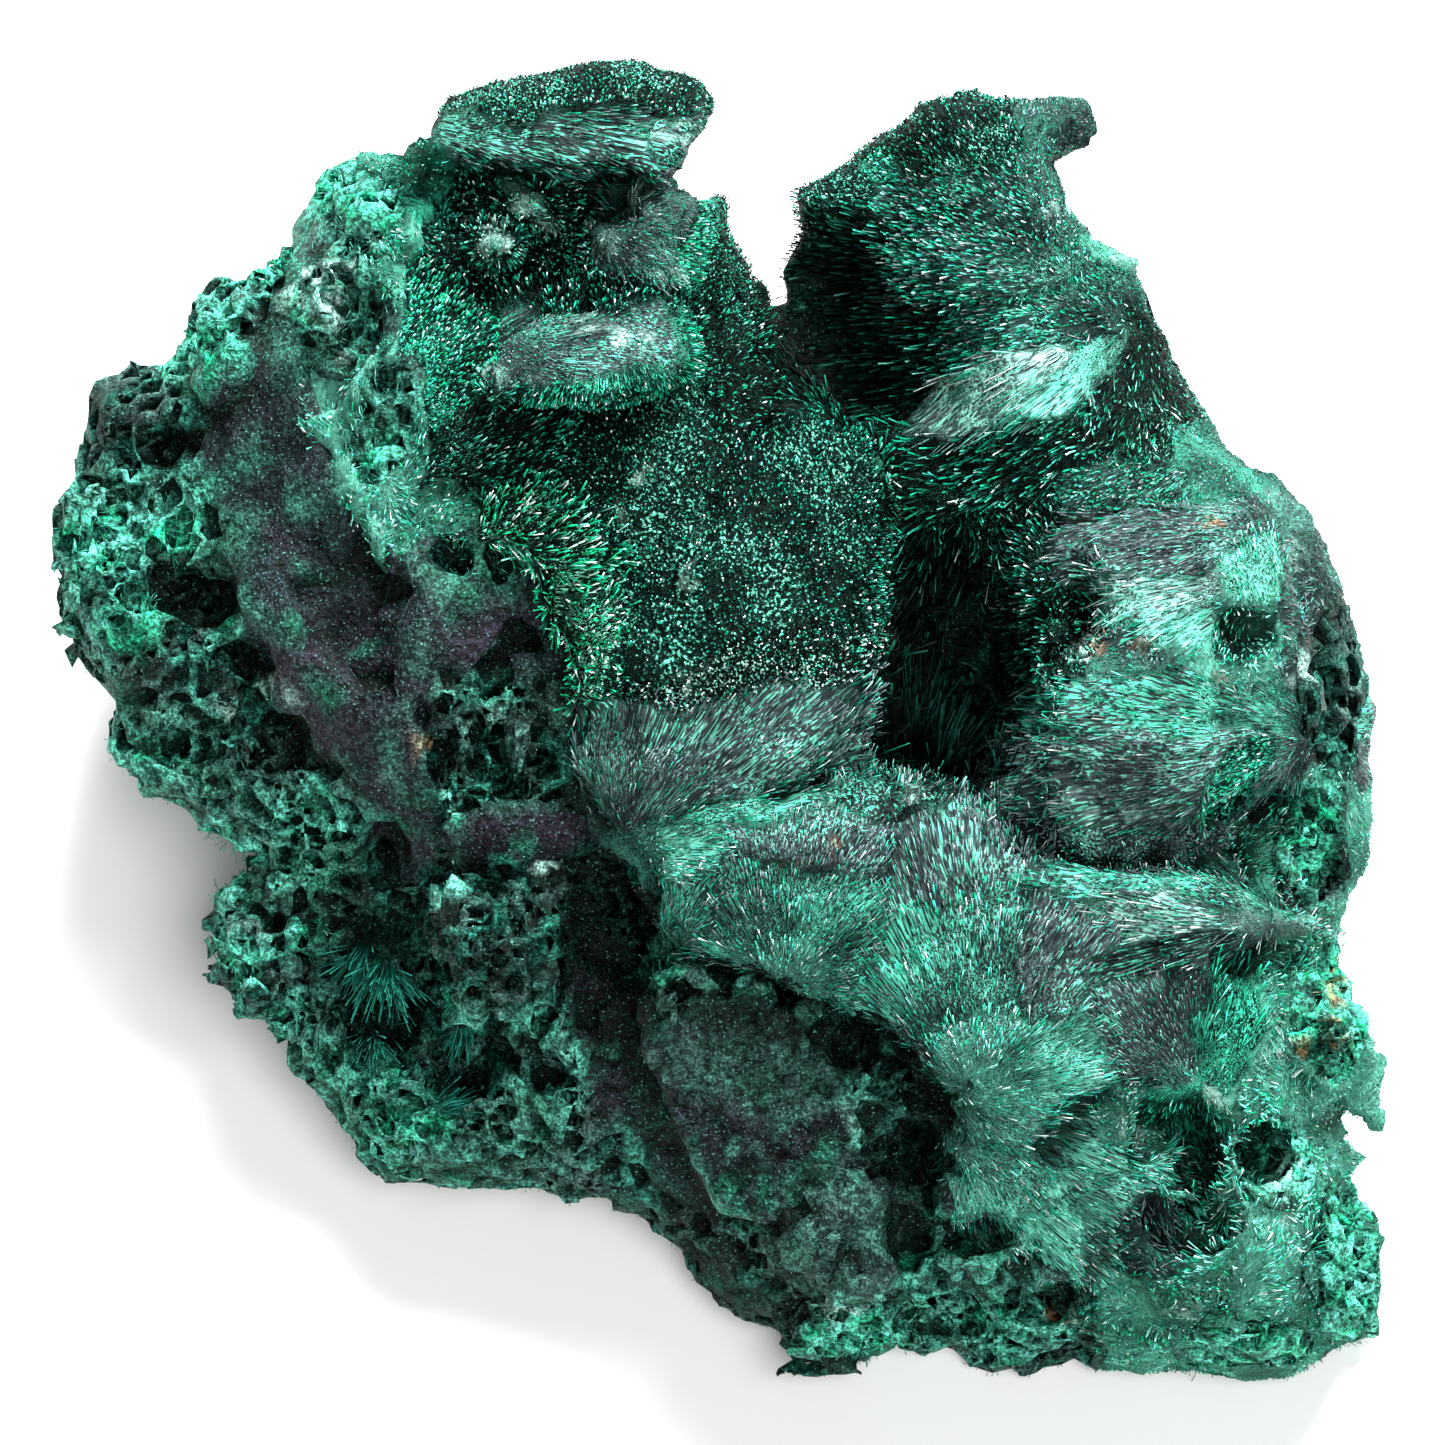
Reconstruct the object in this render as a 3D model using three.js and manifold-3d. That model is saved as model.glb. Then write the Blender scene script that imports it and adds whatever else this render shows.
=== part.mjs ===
// A hand specimen of fibrous malachite, lying on its flat underside. All sizes are millimetres, +Z up.
//
// The mass grew as one piece, so it is one solid. It is laid out in the frame of its show face:
// u runs to the right across the face, v up the face, and w out of it. The face leans back from the
// vertical by FACE_LEAN, and the flat base is cut level. The forms are masses, each one an outline
// on the face with a front relief, a back relief and rounded sides, and hollows taken out of them.
import * as THREE from "three";
import { mergeVertices } from "three/addons/utils/BufferGeometryUtils.js";
import Module from "manifold-3d";

const FACE_LEAN = THREE.MathUtils.degToRad(70); // how far the face is turned up from the vertical
const BASE_DEPTH = 20; // from the face's rim plane to the base, at the middle of the face
const SEEN_FROM = 535; // the outlines are drawn as seen from this far in front of the rim plane
const GRID = 2.4; // edge of the sampling grid, which sets the size of the facets
const REACH = { u: 49, v: 49, back: 38, front: 26 }; // half width, half height and depths sampled

// The rim of the face, clockwise from the leftmost point, as [u, v].
const RIM = [
  [-44.4, 11.3], [-43.4, 13.2], [-43, 15.2], [-42.1, 18.5], [-41, 22], [-38.3, 23.5], [-36.4, 23.7],
  [-35.4, 26], [-34.3, 28.5], [-33, 29.3], [-31.8, 29.1], [-29.6, 30.8], [-28.9, 32.1], [-27, 34.5],
  [-26.4, 36.8], [-24.5, 37.6], [-22.5, 37.4], [-21, 36.7], [-19.7, 38.9], [-19.1, 41], [-17, 42.3],
  [-13, 43.2], [-8.4, 44.1], [-5.5, 44], [-1.5, 42.8], [-0.5, 41.6], [-1, 39.8], [-2.8, 37.4],
  [-3.7, 35.2], [-1.6, 34.9], [-0.2, 34.7], [-0.2, 32.4], [0.7, 30.6], [1.6, 28.4], [3.1, 28.9],
  [4, 30.6], [5.6, 32.8], [5.3, 35.1], [7.3, 36], [9.5, 37.6], [13.5, 40.2], [16, 41.4], [20, 41.8],
  [23.9, 41.4], [24.6, 39.4], [22.6, 38.3], [21.2, 37.4], [22.2, 34.8], [24.3, 31.9], [27.3, 30.6],
  [28.5, 26.8], [31, 21.8], [33.2, 17.6], [35, 16.1], [36.6, 16.1], [38.8, 13.8], [40.8, 9.5],
  [42.4, 4.8], [43.4, 0.8], [42.7, -3], [43.4, -6.4], [42.4, -9.7], [41.2, -11.6], [40.4, -15],
  [42.2, -18.2], [43.1, -22], [42.2, -24.6], [40.3, -26.2], [41.4, -28], [43, -29], [41.4, -31.2],
  [42.9, -32.4], [44, -35.4], [44.4, -37], [43.3, -39.6], [41, -41.9], [38, -43.4], [35, -43.8],
  [30.5, -42.8], [28.3, -43.2], [25, -43], [23.4, -41.8], [20, -43.5], [16.9, -42.5], [15.5, -41.3],
  [13.5, -41.8], [11.5, -41], [8.2, -43.1], [6.8, -43.9], [5.2, -42.3], [3.5, -40.4], [0, -38.6],
  [-2.4, -35], [-5, -32.8], [-8, -31.2], [-10.5, -31.6], [-12.2, -30.7], [-18, -30.8], [-22.5, -30.3],
  [-24.4, -28.4], [-26.3, -25], [-28.6, -23.2], [-28.7, -20.3], [-31, -18.5], [-33.1, -16],
  [-32.3, -12.8], [-31.2, -9.2], [-34.5, -6.6], [-38.6, -4.6], [-40.7, -1.8], [-39.8, 1.4],
  [-42.1, 4.8], [-42.7, 8.6],
];

// The lowest forms of the face, which the other masses stand on, as [u, v, w].
const GROUND_RELIEF = [
  [-41, 12, 2], [-39, 20, 2], [-36, 22, 3], [-38, 8, 4], [-34, 15, 6], [-31, 21, 6], [-28, 27, 6],
  [-32, 27, 3], [-38, 1, 2], [-35, 3, 5], [-33, -4, 3], [-28, 4, 10], [-24, 12, 11], [-26, 18, 9],
  [-24, 24, 10], [-22, 30, 9], [-24, 35, 5], [-21, 5, 13], [-21, -3, 11], [-27, -3, 8], [-28, -9, 4],
  [-30, -14, 2], [-27, -17, 2], [-26, -22, 1], [-23, -27, 2], [-18, -28.5, 4], [-10, -29, 5],
  [-22, -11, 5], [-14, -26, 5], [-8, -24, 6], [-7, -15, 6], [-6, -20, 6], [-3, -31, 3],
  [3, -37, 4], [8, -41, 4], [15, -38, 6], [22, -40, 6], [30, -41, 7], [37, -41, 7], [42, -37, 3],
  [41.5, -33, 3], [38, -30, 9], [38, -36, 10], [33, -37, 11], [27, -32, 14], [20, -32, 14],
  [36, -20, 10], [35, -25, 11], [40, -12, 3], [38, -6, 6], [41, 3, 3], [38, 11, 6], [33, 15, 8],
  [24, 40, 2], [20, 40, 2], [16, 39, 3], [20, 34, 6], [12, 36.5, 2], [7.5, 34.5, 1], [25, 30, 2],
  [15, 30.5, 7], [9.5, 32, 0], [6.5, 30, -4], [3, 27.5, -6], [8, 25.5, -5], [12, 23, -3],
  [14.5, 25.5, 5], [13, 19.5, 3], [20, 25, 8], [26, 26, 4], [22, 20, 9], [29, 22, 3], [18, 15, 8],
  [25, 17, 9], [15, 11, 5], [10, 19, -2], [20, 8, 6], [-15, 31, 4], [-5, 22, 7], [-12, 6, 10],
  [0, 5, 8], [0, -10, 9], [15, -15, 10], [27, 0, 9], [-13, -7.5, 11], [-12, 38, 4], [-4, 31, 4],
];

// How deep the back of the mass is behind the rim plane, as [u, v, w]. The base cuts the low parts.
const BACK_RELIEF = [
  [0, 0, -35], [0, -30, -30], [-25, 0, -27], [30, 0, -29], [-30, 20, -19], [-12, 30, -19],
  [-10, 41, -8], [20, 39, -9], [24, 41, -6], [22, 28, -15], [8, 30, -15], [2, 20, -28],
  [34, -30, -28], [-25, -25, -24], [-38, 10, -14], [12, -40, -20],
];

// Masses on the face: outline as [u, v], front as [u, v, w], and the depth that the mass starts from.
const MASSES = {
  dome: {
    outline: [
      [-21, 20], [-23.5, 25], [-22.4, 30], [-20, 35], [-12, 36.4], [-3.8, 35.6], [-0.6, 34.2],
      [0.3, 31], [2.4, 26.2], [5, 22.4], [8, 19.5], [10.2, 17.6], [10.7, 13], [10.2, 8],
      [10.6, 2.4], [9, -0.2], [7.4, -3.4], [2, -5.6], [-7, -8.2], [-9.6, -3], [-9, 4],
      [-12, 9.5], [-17, 12.5], [-18.6, 17],
    ],
    front: [
      [-22, 24, 11], [-21, 32, 10], [-17.5, 34, 2.5], [-17.5, 30, 4], [-12, 34, 1.5], [-12, 30.5, 3],
      [-9.4, 34, 3], [-10, 29, 6], [-15, 28, 8], [-19, 26, 10.5], [-7, 33, 11.5], [-3, 33.5, 11],
      [-3, 30, 12], [-7, 29.5, 10.5], [-1.2, 33.5, 7], [0.6, 28, 8],
      [-1.5, 25, 11], [-8, 21, 11.5], [-16, 20, 10.5], [4.5, 21.5, 11.5], [9, 17, 11],
      [10, 11, 12.5], [10, 5, 14], [4, 14, 16], [-2, 15, 15.5], [-10, 15, 13.5], [-15, 15.5, 11.5],
      [-10, 9, 12.5], [-4, 9, 16.5], [4, 7, 19], [0, 5.2, 20], [-6, 3.4, 17.5], [8.5, 3, 17.5],
      [0, 0, 19], [6, -1.5, 17.5], [-4, -3.5, 17.5], [-7, -7, 16], [-9, 1, 14.5],
    ],
    back: -10,
    round: 2.2,
  },
  visor: {
    outline: [
      [-19.4, 39.6], [-18.7, 41.3], [-17, 42.3], [-13, 43.2], [-8.4, 44.1], [-5.5, 44],
      [-1.5, 42.8], [-0.5, 41.6], [-1, 39.8], [-2.8, 37.4], [-4, 35.4], [-7, 36.3], [-10.5, 36],
      [-14, 37], [-17.5, 37.2], [-20, 37.6],
    ],
    front: [
      [-18, 40.5, 5], [-8, 43.2, 3.5], [-2, 42, 5], [-2, 40, 8.5], [-5.5, 37.2, 12], [-10, 37, 12],
      [-16, 37.8, 9], [-10, 40, 9],
    ],
    back: -4,
    round: 1.6,
  },
  lip: {
    outline: [
      [-16, 23.2], [-14.5, 25.6], [-12, 27.2], [-9, 27], [-5, 28], [-2.6, 28.6], [-1.7, 26],
      [-2.2, 23.6], [-4.2, 22.3], [-8, 21.6], [-12, 21.8], [-14.8, 22.4],
    ],
    front: [[-15, 23.4, 15], [-12, 26.5, 13], [-3, 28, 12.5], [-3, 24, 16], [-8, 22.4, 17.5]],
    back: 4,
    round: 1.4,
  },
  lower_fans: {
    outline: [
      [-4.6, -9.5], [-7.2, -7.4], [-2, -4.6], [4, -4.8], [8, -3.8], [12, -4.6], [15, -4.7],
      [17, -5.6], [19.5, -7.4], [22, -9], [24, -12], [33, -14.6], [32.4, -20], [31.6, -24],
      [28, -24.6], [24, -25.4], [21.5, -28], [25.5, -33], [24.5, -38], [18, -36.6], [15.4, -30],
      [16, -26], [13, -21.4], [8, -19.4], [3, -17.4], [-2, -16], [-4.2, -14],
    ],
    front: [
      [-5, -8, 16], [0, -6.5, 18], [8, -5, 17.5], [14, -5.6, 16.5], [19, -8.5, 15.5],
      [4, -16, 17], [0, -12, 18], [10, -12, 19.5], [17, -14, 18], [22, -12, 17.5], [17, -22, 19],
      [12, -20, 16.5], [25, -17, 18], [30, -18, 15.5], [30, -22.5, 15], [24, -24, 17.5],
      [20, -29, 16], [23, -36, 13], [17.5, -34, 12.5],
    ],
    back: -5,
    round: 1.8,
  },
  upper_shoulder: {
    outline: [
      [20.6, 12.4], [25, 13.4], [28.4, 14.5], [31, 14], [34.4, 14.6], [36.4, 13], [37.8, 10],
      [39, 6], [40, 2], [39.7, -0.7], [37, -3.2], [34, -5.2], [31, -7], [30.4, -9.6], [24, -9.8],
      [22, -8], [21.2, -4], [21.5, 0], [21.4, 5], [21, 9],
    ],
    front: [
      [21.5, 12, 10.5], [28, 13.8, 13], [34, 14, 9.5], [25.5, 10, 14.5], [23.6, 7, 11],
      [22.4, 3, 17.5], [22.4, -4, 17.5], [23, -8.5, 15.5], [28, 4, 17.5], [30, -2, 17.5],
      [34, 8, 14], [36, 4, 12.5], [38.5, -0.5, 10], [33, -5, 13], [29, -8.5, 12.5],
    ],
    back: -6,
    round: 1.5,
  },
  lower_shoulder: {
    outline: [
      [21.6, -9.4], [24, -10.2], [30, -10.4], [34, -11], [39.4, -13], [40.2, -14.2], [36, -15],
      [32, -15.4], [26, -15.6], [22, -14],
    ],
    front: [[23, -12, 17.5], [30, -12.4, 17], [39, -13.6, 7], [26, -15, 16], [34, -12.6, 13.5]],
    back: -3,
    round: 1.5,
  },
  plate: {
    outline: [
      [-5, -17], [-2, -15.8], [1, -16.8], [4, -17.8], [8, -19.4], [11, -20.8], [13, -24.5],
      [13, -27.2], [10, -29.2], [9, -31], [6, -31.7], [3, -33], [0.3, -32.4], [-1.5, -29.6],
      [-3, -26.6], [-4.6, -23.4], [-5.5, -20.6],
    ],
    front: [
      [-4, -19, 12.5], [-4.6, -22.8, 11.5], [0, -31.4, 10], [4.5, -30.5, 11.5], [0, -24, 13],
      [6, -22.5, 12.5], [10, -25.5, 13], [12, -26.8, 12.5], [0, -18, 14.5], [8, -20.4, 13],
    ],
    back: -4,
    round: 1,
  },
  foot_lobes: {
    outline: [
      [3.6, -31.2], [8, -29.9], [12.4, -31], [14.4, -34], [12.6, -37], [9.6, -38.8], [7.4, -38.6],
      [5.6, -36.6], [4.4, -34],
    ],
    front: [[5, -32, 10], [9, -31.5, 12], [12, -33, 12.5], [8, -38, 9.5], [6, -35, 10.5]],
    back: -4,
    round: 1.6,
  },
};

// Rounded lumps that stand on the masses: centre [u, v, w] and radii.
const LUMPS = [
  [[-13.8, -14, 5], [7.6, 5.6, 8.5]], // the cellular boulder at the lower left
  [[40, -21.4, 3], [3.3, 4.4, 5.2]], // the rind knob at the right
  [[-29.5, -14, -3], [4.5, 6.5, 7]],
  [[-41, 12, -3], [4.2, 6, 6]],
  [[41, -36.5, 0], [3.5, 5, 6]],
  [[6.5, -40.5, -1], [2.6, 3.2, 6]],
  [[1.6, -18.2, 12.6], [2.2, 1.6, 2.8]],
  [[5.8, -19.6, 12], [2, 1.4, 2.6]],
  [[-2.4, -17.4, 12.4], [2, 1.6, 2.6]],
  [[-15.2, 32, 4], [1.3, 1.3, 5]], // the nodule in the upper recess
  [[-12.6, 34.4, 4.5], [1.9, 1.2, 4.5]],
  [[-15, 23.2, 14.6], [1.3, 1.1, 2.2]],
  [[-25.6, 28.4, 8], [2.6, 2.8, 3.2]],
  [[-33, 24, 3], [2.2, 4.5, 3.5]],
];

// Hollows taken out of the masses: centre [u, v, w] and radii.
const HOLLOWS = [
  [[15.6, 3.6, 8], [5.9, 9.4, 15]], // the deep cavity in the middle of the face
  [[14.8, -1.4, 6], [6, 4.2, 12]],
  [[31.8, -28.8, 8], [2, 3.8, 14]], // the two tunnels at the lower right
  [[35.8, -29, 8], [1.8, 2.3, 8]],
  [[30.6, -27.2, 15], [3.4, 2.6, 6]],
  [[32.2, -33.2, 12], [2.8, 2, 4]],
  [[9, -21.4, 14], [1.9, 1.9, 8]],
  [[13.9, -24.8, 16], [2.2, 2.2, 8]],
  [[13.2, -28.8, 12], [3, 2.8, 10]],
  [[12.4, -34.2, 11], [1.9, 2.9, 8]],
  [[16.6, -34, 12], [2.5, 1.9, 6]],
  [[19.2, -37, 11], [1.8, 1.6, 5]],
  [[15, -40.2, 6], [4, 2.2, 6]],
  [[22.4, -39.2, 8], [2.3, 1.9, 5]],
  [[-18.4, 11.2, 12], [2, 1.5, 6]],
  [[-14.9, 10.8, 12], [1.4, 2.3, 5]],
  [[-13, 5.4, 13.6], [1.6, 1.6, 5]],
  [[-15.4, 3.6, 13], [1.4, 1.6, 4]],
  [[-12, -0.8, 14.6], [2.2, 3.4, 4.5]],
  [[-17.4, -1.4, 12.6], [2.4, 3.2, 4]],
  [[-22.2, -17.6, 4], [4.2, 5.6, 9]], // the cavity with fibre sprays at the lower left
  [[-17.2, -22.6, 6], [3.6, 2.8, 9]],
  [[-12, -23.6, 7], [1.8, 1.5, 6]],
  [[-22.8, -8.4, 8], [2.2, 3, 5]],
  [[-7.4, -14.4, 9], [3.2, 5, 6]],
  [[-35, 8.2, 6], [3.4, 2.4, 5]],
  [[-37.4, 18.6, 4], [2.8, 1.8, 5]],
  [[-32, 4.2, 7], [2.4, 2.2, 4]],
  [[-36, -1.4, 4], [2.6, 2, 4]],
  [[-29, -2, 8], [2.2, 2.2, 4]],
  [[-33.4, 31, 3], [1.6, 2.2, 3]],
  [[-27.2, 32, 7], [1.2, 2.6, 4]],
  [[38.2, -5.6, 8], [2.2, 2.4, 4.5]],
  [[40.8, -9.2, 4], [2, 2.6, 4]],
  [[35.6, -7.6, 9], [1.4, 2.2, 4]],
  [[33.2, -16.8, 13], [1.4, 2.6, 4]],
  [[35.6, 5.6, 14], [2.4, 1.6, 3]],
  [[40.4, 2.4, 5], [1.8, 3, 3.5]],
  [[23.8, 7.4, 14], [1.9, 2.6, 4]],
  [[-25.6, 7.8, 12], [4.4, 6, 3]],
  [[-18.9, 33.8, 9], [1.2, 1.8, 5]],
  [[-9, 34.4, 9], [2.6, 1.8, 6]],
];

// Zones that are eaten away into open cells, as circles on the face [u, v, radius].
const CELL_ZONES = [
  [-38, 16, 6], [-38, 4, 6], [-31, -2, 7], [-29, -14, 5.5], [-14, -14, 6.5], [-19, -28, 6],
  [-3, -35, 5], [19, -40, 6], [-16, -1, 4.5],
];
const CELL_SPACING = 5; // between the middles of neighbouring cells
const CELL_RADIUS = [1.9, 2.7]; // smallest and largest
const CELL_DEPTH = 1.5; // depth of a cell, in radii
const CELL_TRIES = 4000;

// Pits round the sides, behind the rim.
const SIDE_PITS = 70;
const SIDE_PIT_RADIUS = [1.6, 3];
const SIDE_PIT_DEPTHS = [-2, -20]; // of their middles, behind the rim plane

const RIM_ROUND = 3; // how much the edge between the face and the sides is rounded
const RIM_SPARE = 0.5; // makes good what the rounding takes off the rim
const SIDE_TAPER = 0.42; // how fast the sides draw in behind the rim
const TAPER_FROM = 4; // depth at which they start to
const FACE_SLOPE = 0.75; // turns height over a sloping relief into distance from it
const ROUGHNESS = [
  { height: 0.6, size: 7 },
  { height: 0.3, size: 3.4 },
];
const SEED = 20;

// A repeatable number from 0 to 1 for a point of an integer lattice.
function lattice(i, j, k) {
  let h = (i * 374761393 + j * 668265263 + k * 2147483647 + SEED * 144665) | 0;
  h = Math.imul(h ^ (h >>> 13), 1274126177);
  h ^= h >>> 16;
  return (h >>> 0) / 4294967295;
}

// Smooth noise from -1 to 1 whose lumps are about size across.
function noise(u, v, w, size) {
  const p = [u / size, v / size, w / size];
  const cell = p.map(Math.floor);
  const t = p.map((x, axis) => THREE.MathUtils.smoothstep(x - cell[axis], 0, 1));
  let sum = 0;
  for (let corner = 0; corner < 8; corner++) {
    const step = [corner & 1, (corner >> 1) & 1, corner >> 2];
    const weight = step.reduce((product, s, axis) => product * (s ? t[axis] : 1 - t[axis]), 1);
    sum += weight * lattice(cell[0] + step[0], cell[1] + step[1], cell[2] + step[2]);
  }
  return 2 * sum - 1;
}

// A surface through scattered heights, with the slopes between them as straight as they can be.
function reliefThrough(points) {
  const n = points.length;
  const rows = points.map(([u, v, w]) => [
    ...points.map(([a, b]) => Math.hypot(u - a, v - b)),
    1,
    w,
  ]);
  rows.push([...points.map(() => 1), 0, 0]);
  for (let col = 0; col <= n; col++) {
    let best = col;
    for (let row = col + 1; row <= n; row++)
      if (Math.abs(rows[row][col]) > Math.abs(rows[best][col])) best = row;
    [rows[col], rows[best]] = [rows[best], rows[col]];
    for (let row = 0; row <= n; row++) {
      if (row === col) continue;
      const factor = rows[row][col] / rows[col][col];
      if (factor) for (let k = col; k <= n + 1; k++) rows[row][k] -= factor * rows[col][k];
    }
  }
  const weights = rows.map((row, i) => row[n + 1] / row[i]);
  return (u, v) =>
    points.reduce((sum, [a, b], i) => sum + weights[i] * Math.hypot(u - a, v - b), weights[n]);
}

// Distance from a point of the face to an outline, positive inside it.
function insideBy(outline, u, v) {
  let nearest = Infinity;
  let inside = false;
  for (let i = 0, j = outline.length - 1; i < outline.length; j = i++) {
    const [ax, ay] = outline[j];
    const [bx, by] = outline[i];
    const along = [bx - ax, by - ay];
    const t = ((u - ax) * along[0] + (v - ay) * along[1]) / (along[0] ** 2 + along[1] ** 2);
    const s = THREE.MathUtils.clamp(t, 0, 1);
    nearest = Math.min(nearest, Math.hypot(u - ax - s * along[0], v - ay - s * along[1]));
    if (ay > v !== by > v && u < ax + ((v - ay) / (by - ay)) * (bx - ax)) inside = !inside;
  }
  return inside ? nearest : -nearest;
}

// The smaller of two distances, with the edge between them rounded by about radius.
function roundedMin(a, b, radius) {
  const h = Math.max(radius - Math.abs(a - b), 0) / radius;
  return Math.min(a, b) - (h * h * radius) / 4;
}

// How far inside an ellipsoid a point is.
function insideEllipsoid([centre, radii], u, v, w) {
  const away = Math.hypot(
    (u - centre[0]) / radii[0],
    (v - centre[1]) / radii[1],
    (w - centre[2]) / radii[2],
  );
  return (1 - away) * Math.min(...radii);
}

const rimPoints = RIM.filter((_, i) => i % 3 === 0).map(([u, v]) => [u, v, 0.5]);
const groundFront = reliefThrough([...GROUND_RELIEF, ...rimPoints]);
const groundBack = reliefThrough(BACK_RELIEF);
const masses = Object.values(MASSES).map((mass) => ({ ...mass, height: reliefThrough(mass.front) }));

// Everything about one column of the face that doesn't depend on depth.
function columnAt(u, v) {
  return {
    u,
    v,
    rim: insideBy(RIM, u, v),
    front: groundFront(u, v),
    back: groundBack(u, v),
    masses: masses
      .map((m) => ({ ...m, side: insideBy(m.outline, u, v), front: m.height(u, v) })),
  };
}

// Pits that open on the cell zones, at random places that keep their spacing.
function cellPits() {
  const pits = [];
  for (let n = 0; n < CELL_TRIES; n++) {
    const zone = CELL_ZONES[Math.floor(lattice(n, 1, 0) * CELL_ZONES.length)];
    const angle = lattice(n, 2, 0) * 2 * Math.PI;
    const reach = Math.sqrt(lattice(n, 3, 0)) * zone[2];
    const u = zone[0] + reach * Math.cos(angle);
    const v = zone[1] + reach * Math.sin(angle);
    if (insideBy(RIM, u, v) < 1) continue;
    if (pits.some(([c]) => Math.hypot(c[0] - u, c[1] - v) < CELL_SPACING)) continue;
    const r = THREE.MathUtils.lerp(...CELL_RADIUS, lattice(n, 4, 0));
    pits.push([[u, v, solidTop(columnAt(u, v))], [r, r, r * CELL_DEPTH]]);
  }
  return pits;
}

// The depth of the outermost surface in a column, before the cells are taken out.
function solidTop(column) {
  const step = GRID / 8;
  let w = REACH.front;
  while (w > -REACH.back && solidAt(column, w) < 0) w -= step;
  return w;
}

function sidePits() {
  return Array.from({ length: SIDE_PITS }, (_, n) => {
    const [u, v] = RIM[Math.floor(lattice(n, 5, 1) * RIM.length)];
    const w = THREE.MathUtils.lerp(...SIDE_PIT_DEPTHS, lattice(n, 6, 1));
    const drawnIn = 1 + (SIDE_TAPER * (w + TAPER_FROM)) / Math.hypot(u, v);
    const r = THREE.MathUtils.lerp(...SIDE_PIT_RADIUS, lattice(n, 7, 1));
    return [[u * drawnIn, v * drawnIn, w], [r, r, r]];
  });
}

// How far inside the masses a point is, without the cells.
function solidAt(column, w) {
  const { u, v } = column;
  const side = column.rim + RIM_SPARE - SIDE_TAPER * Math.max(0, -w - TAPER_FROM);
  let value = roundedMin(side, FACE_SLOPE * (column.front - w), RIM_ROUND);
  value = roundedMin(value, FACE_SLOPE * (w - column.back), RIM_ROUND);
  for (const m of column.masses) {
    const body = roundedMin(m.side, FACE_SLOPE * (m.front - w), m.round);
    value = Math.max(value, Math.min(body, w - m.back, side));
  }
  for (const lump of LUMPS) value = Math.max(value, insideEllipsoid(lump, u, v, w));
  for (const hollow of HOLLOWS) value = Math.min(value, -insideEllipsoid(hollow, u, v, w));
  for (const { height, size } of ROUGHNESS) value += height * noise(u, v, w, size);
  return value;
}

const pits = [...cellPits(), ...sidePits()];

function fieldAt(column, w) {
  const { u, v } = column;
  return pits.reduce(
    (value, pit) => Math.min(value, -insideEllipsoid(pit, u, v, w)),
    solidAt(column, w),
  );
}

// Samples the field on a grid whose outer layer is always outside.
function sampleField() {
  const size = [REACH.u * 2, REACH.v * 2, REACH.back + REACH.front].map((s) => Math.ceil(s / GRID));
  const start = [-REACH.u, -REACH.v, -REACH.back];
  const values = new Float32Array(size[0] * size[1] * size[2]).fill(-1);
  const at = (i, j, k) => i + size[0] * (j + size[1] * k);
  for (let i = 1; i < size[0] - 1; i++)
    for (let j = 1; j < size[1] - 1; j++) {
      const column = columnAt(start[0] + i * GRID, start[1] + j * GRID);
      for (let k = 1; k < size[2] - 1; k++)
        values[at(i, j, k)] = fieldAt(column, start[2] + k * GRID);
    }
  return { size, start, values, at };
}

// Keeps only the largest connected body, and fills corners that would touch another only by an edge
// or a point, so that the surface is one closed sheet.
function makeWhole({ size, values, at }) {
  const inside = (i, j, k) => values[at(i, j, k)] > 0;
  const steps = [[1, 0, 0], [0, 1, 0], [0, 0, 1], [-1, 0, 0], [0, -1, 0], [0, 0, -1]];
  function flood(start, wanted, seen) {
    const stack = [start];
    const found = [];
    seen.add(at(...start));
    while (stack.length) {
      const p = stack.pop();
      found.push(p);
      for (const s of steps) {
        const q = p.map((x, axis) => x + s[axis]);
        if (q.some((x, axis) => x < 0 || x >= size[axis]) || inside(...q) !== wanted) continue;
        if (seen.has(at(...q))) continue;
        seen.add(at(...q));
        stack.push(q);
      }
    }
    return found;
  }
  function keepLargest(wanted, otherwise) {
    const seen = new Set();
    const bodies = [];
    for (let k = 0; k < size[2]; k++)
      for (let j = 0; j < size[1]; j++)
        for (let i = 0; i < size[0]; i++)
          if (inside(i, j, k) === wanted && !seen.has(at(i, j, k)))
            bodies.push(flood([i, j, k], wanted, seen));
    bodies.sort((a, b) => b.length - a.length);
    for (const body of bodies.slice(1)) for (const p of body) values[at(...p)] = otherwise;
  }
  const justInside = 0.2;
  const fill = (p) => {
    values[at(...p)] = justInside;
    changed++;
  };
  let changed = 1;
  while (changed) {
    changed = 0;
    keepLargest(true, -justInside);
    keepLargest(false, justInside);
    const fillIfTouching = (a, b, others) => {
      if (inside(...a) && inside(...b) && !others.some((p) => inside(...p))) fill(others[0]);
    };
    for (let k = 1; k < size[2] - 1; k++)
      for (let j = 1; j < size[1] - 1; j++)
        for (let i = 1; i < size[0] - 1; i++) {
          for (const [s, t] of [[0, 1], [1, 2], [0, 2]]) {
            const a = [i, j, k];
            const b = a.map((x, axis) => x + steps[s][axis]);
            const c = a.map((x, axis) => x + steps[t][axis]);
            const d = b.map((x, axis) => x + steps[t][axis]);
            fillIfTouching(a, d, [b, c]);
            fillIfTouching(b, c, [a, d]);
          }
          const corners = [];
          for (let n = 0; n < 8; n++) corners.push([i + (n & 1), j + ((n >> 1) & 1), k + (n >> 2)]);
          for (let n = 0; n < 4; n++) {
            const pair = [corners[n], corners[7 - n]];
            const rest = corners.filter((p) => !pair.includes(p));
            fillIfTouching(...pair, rest);
            if (!pair.some((p) => inside(...p)) && rest.every((p) => inside(...p))) fill(pair[0]);
          }
        }
  }
}

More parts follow.
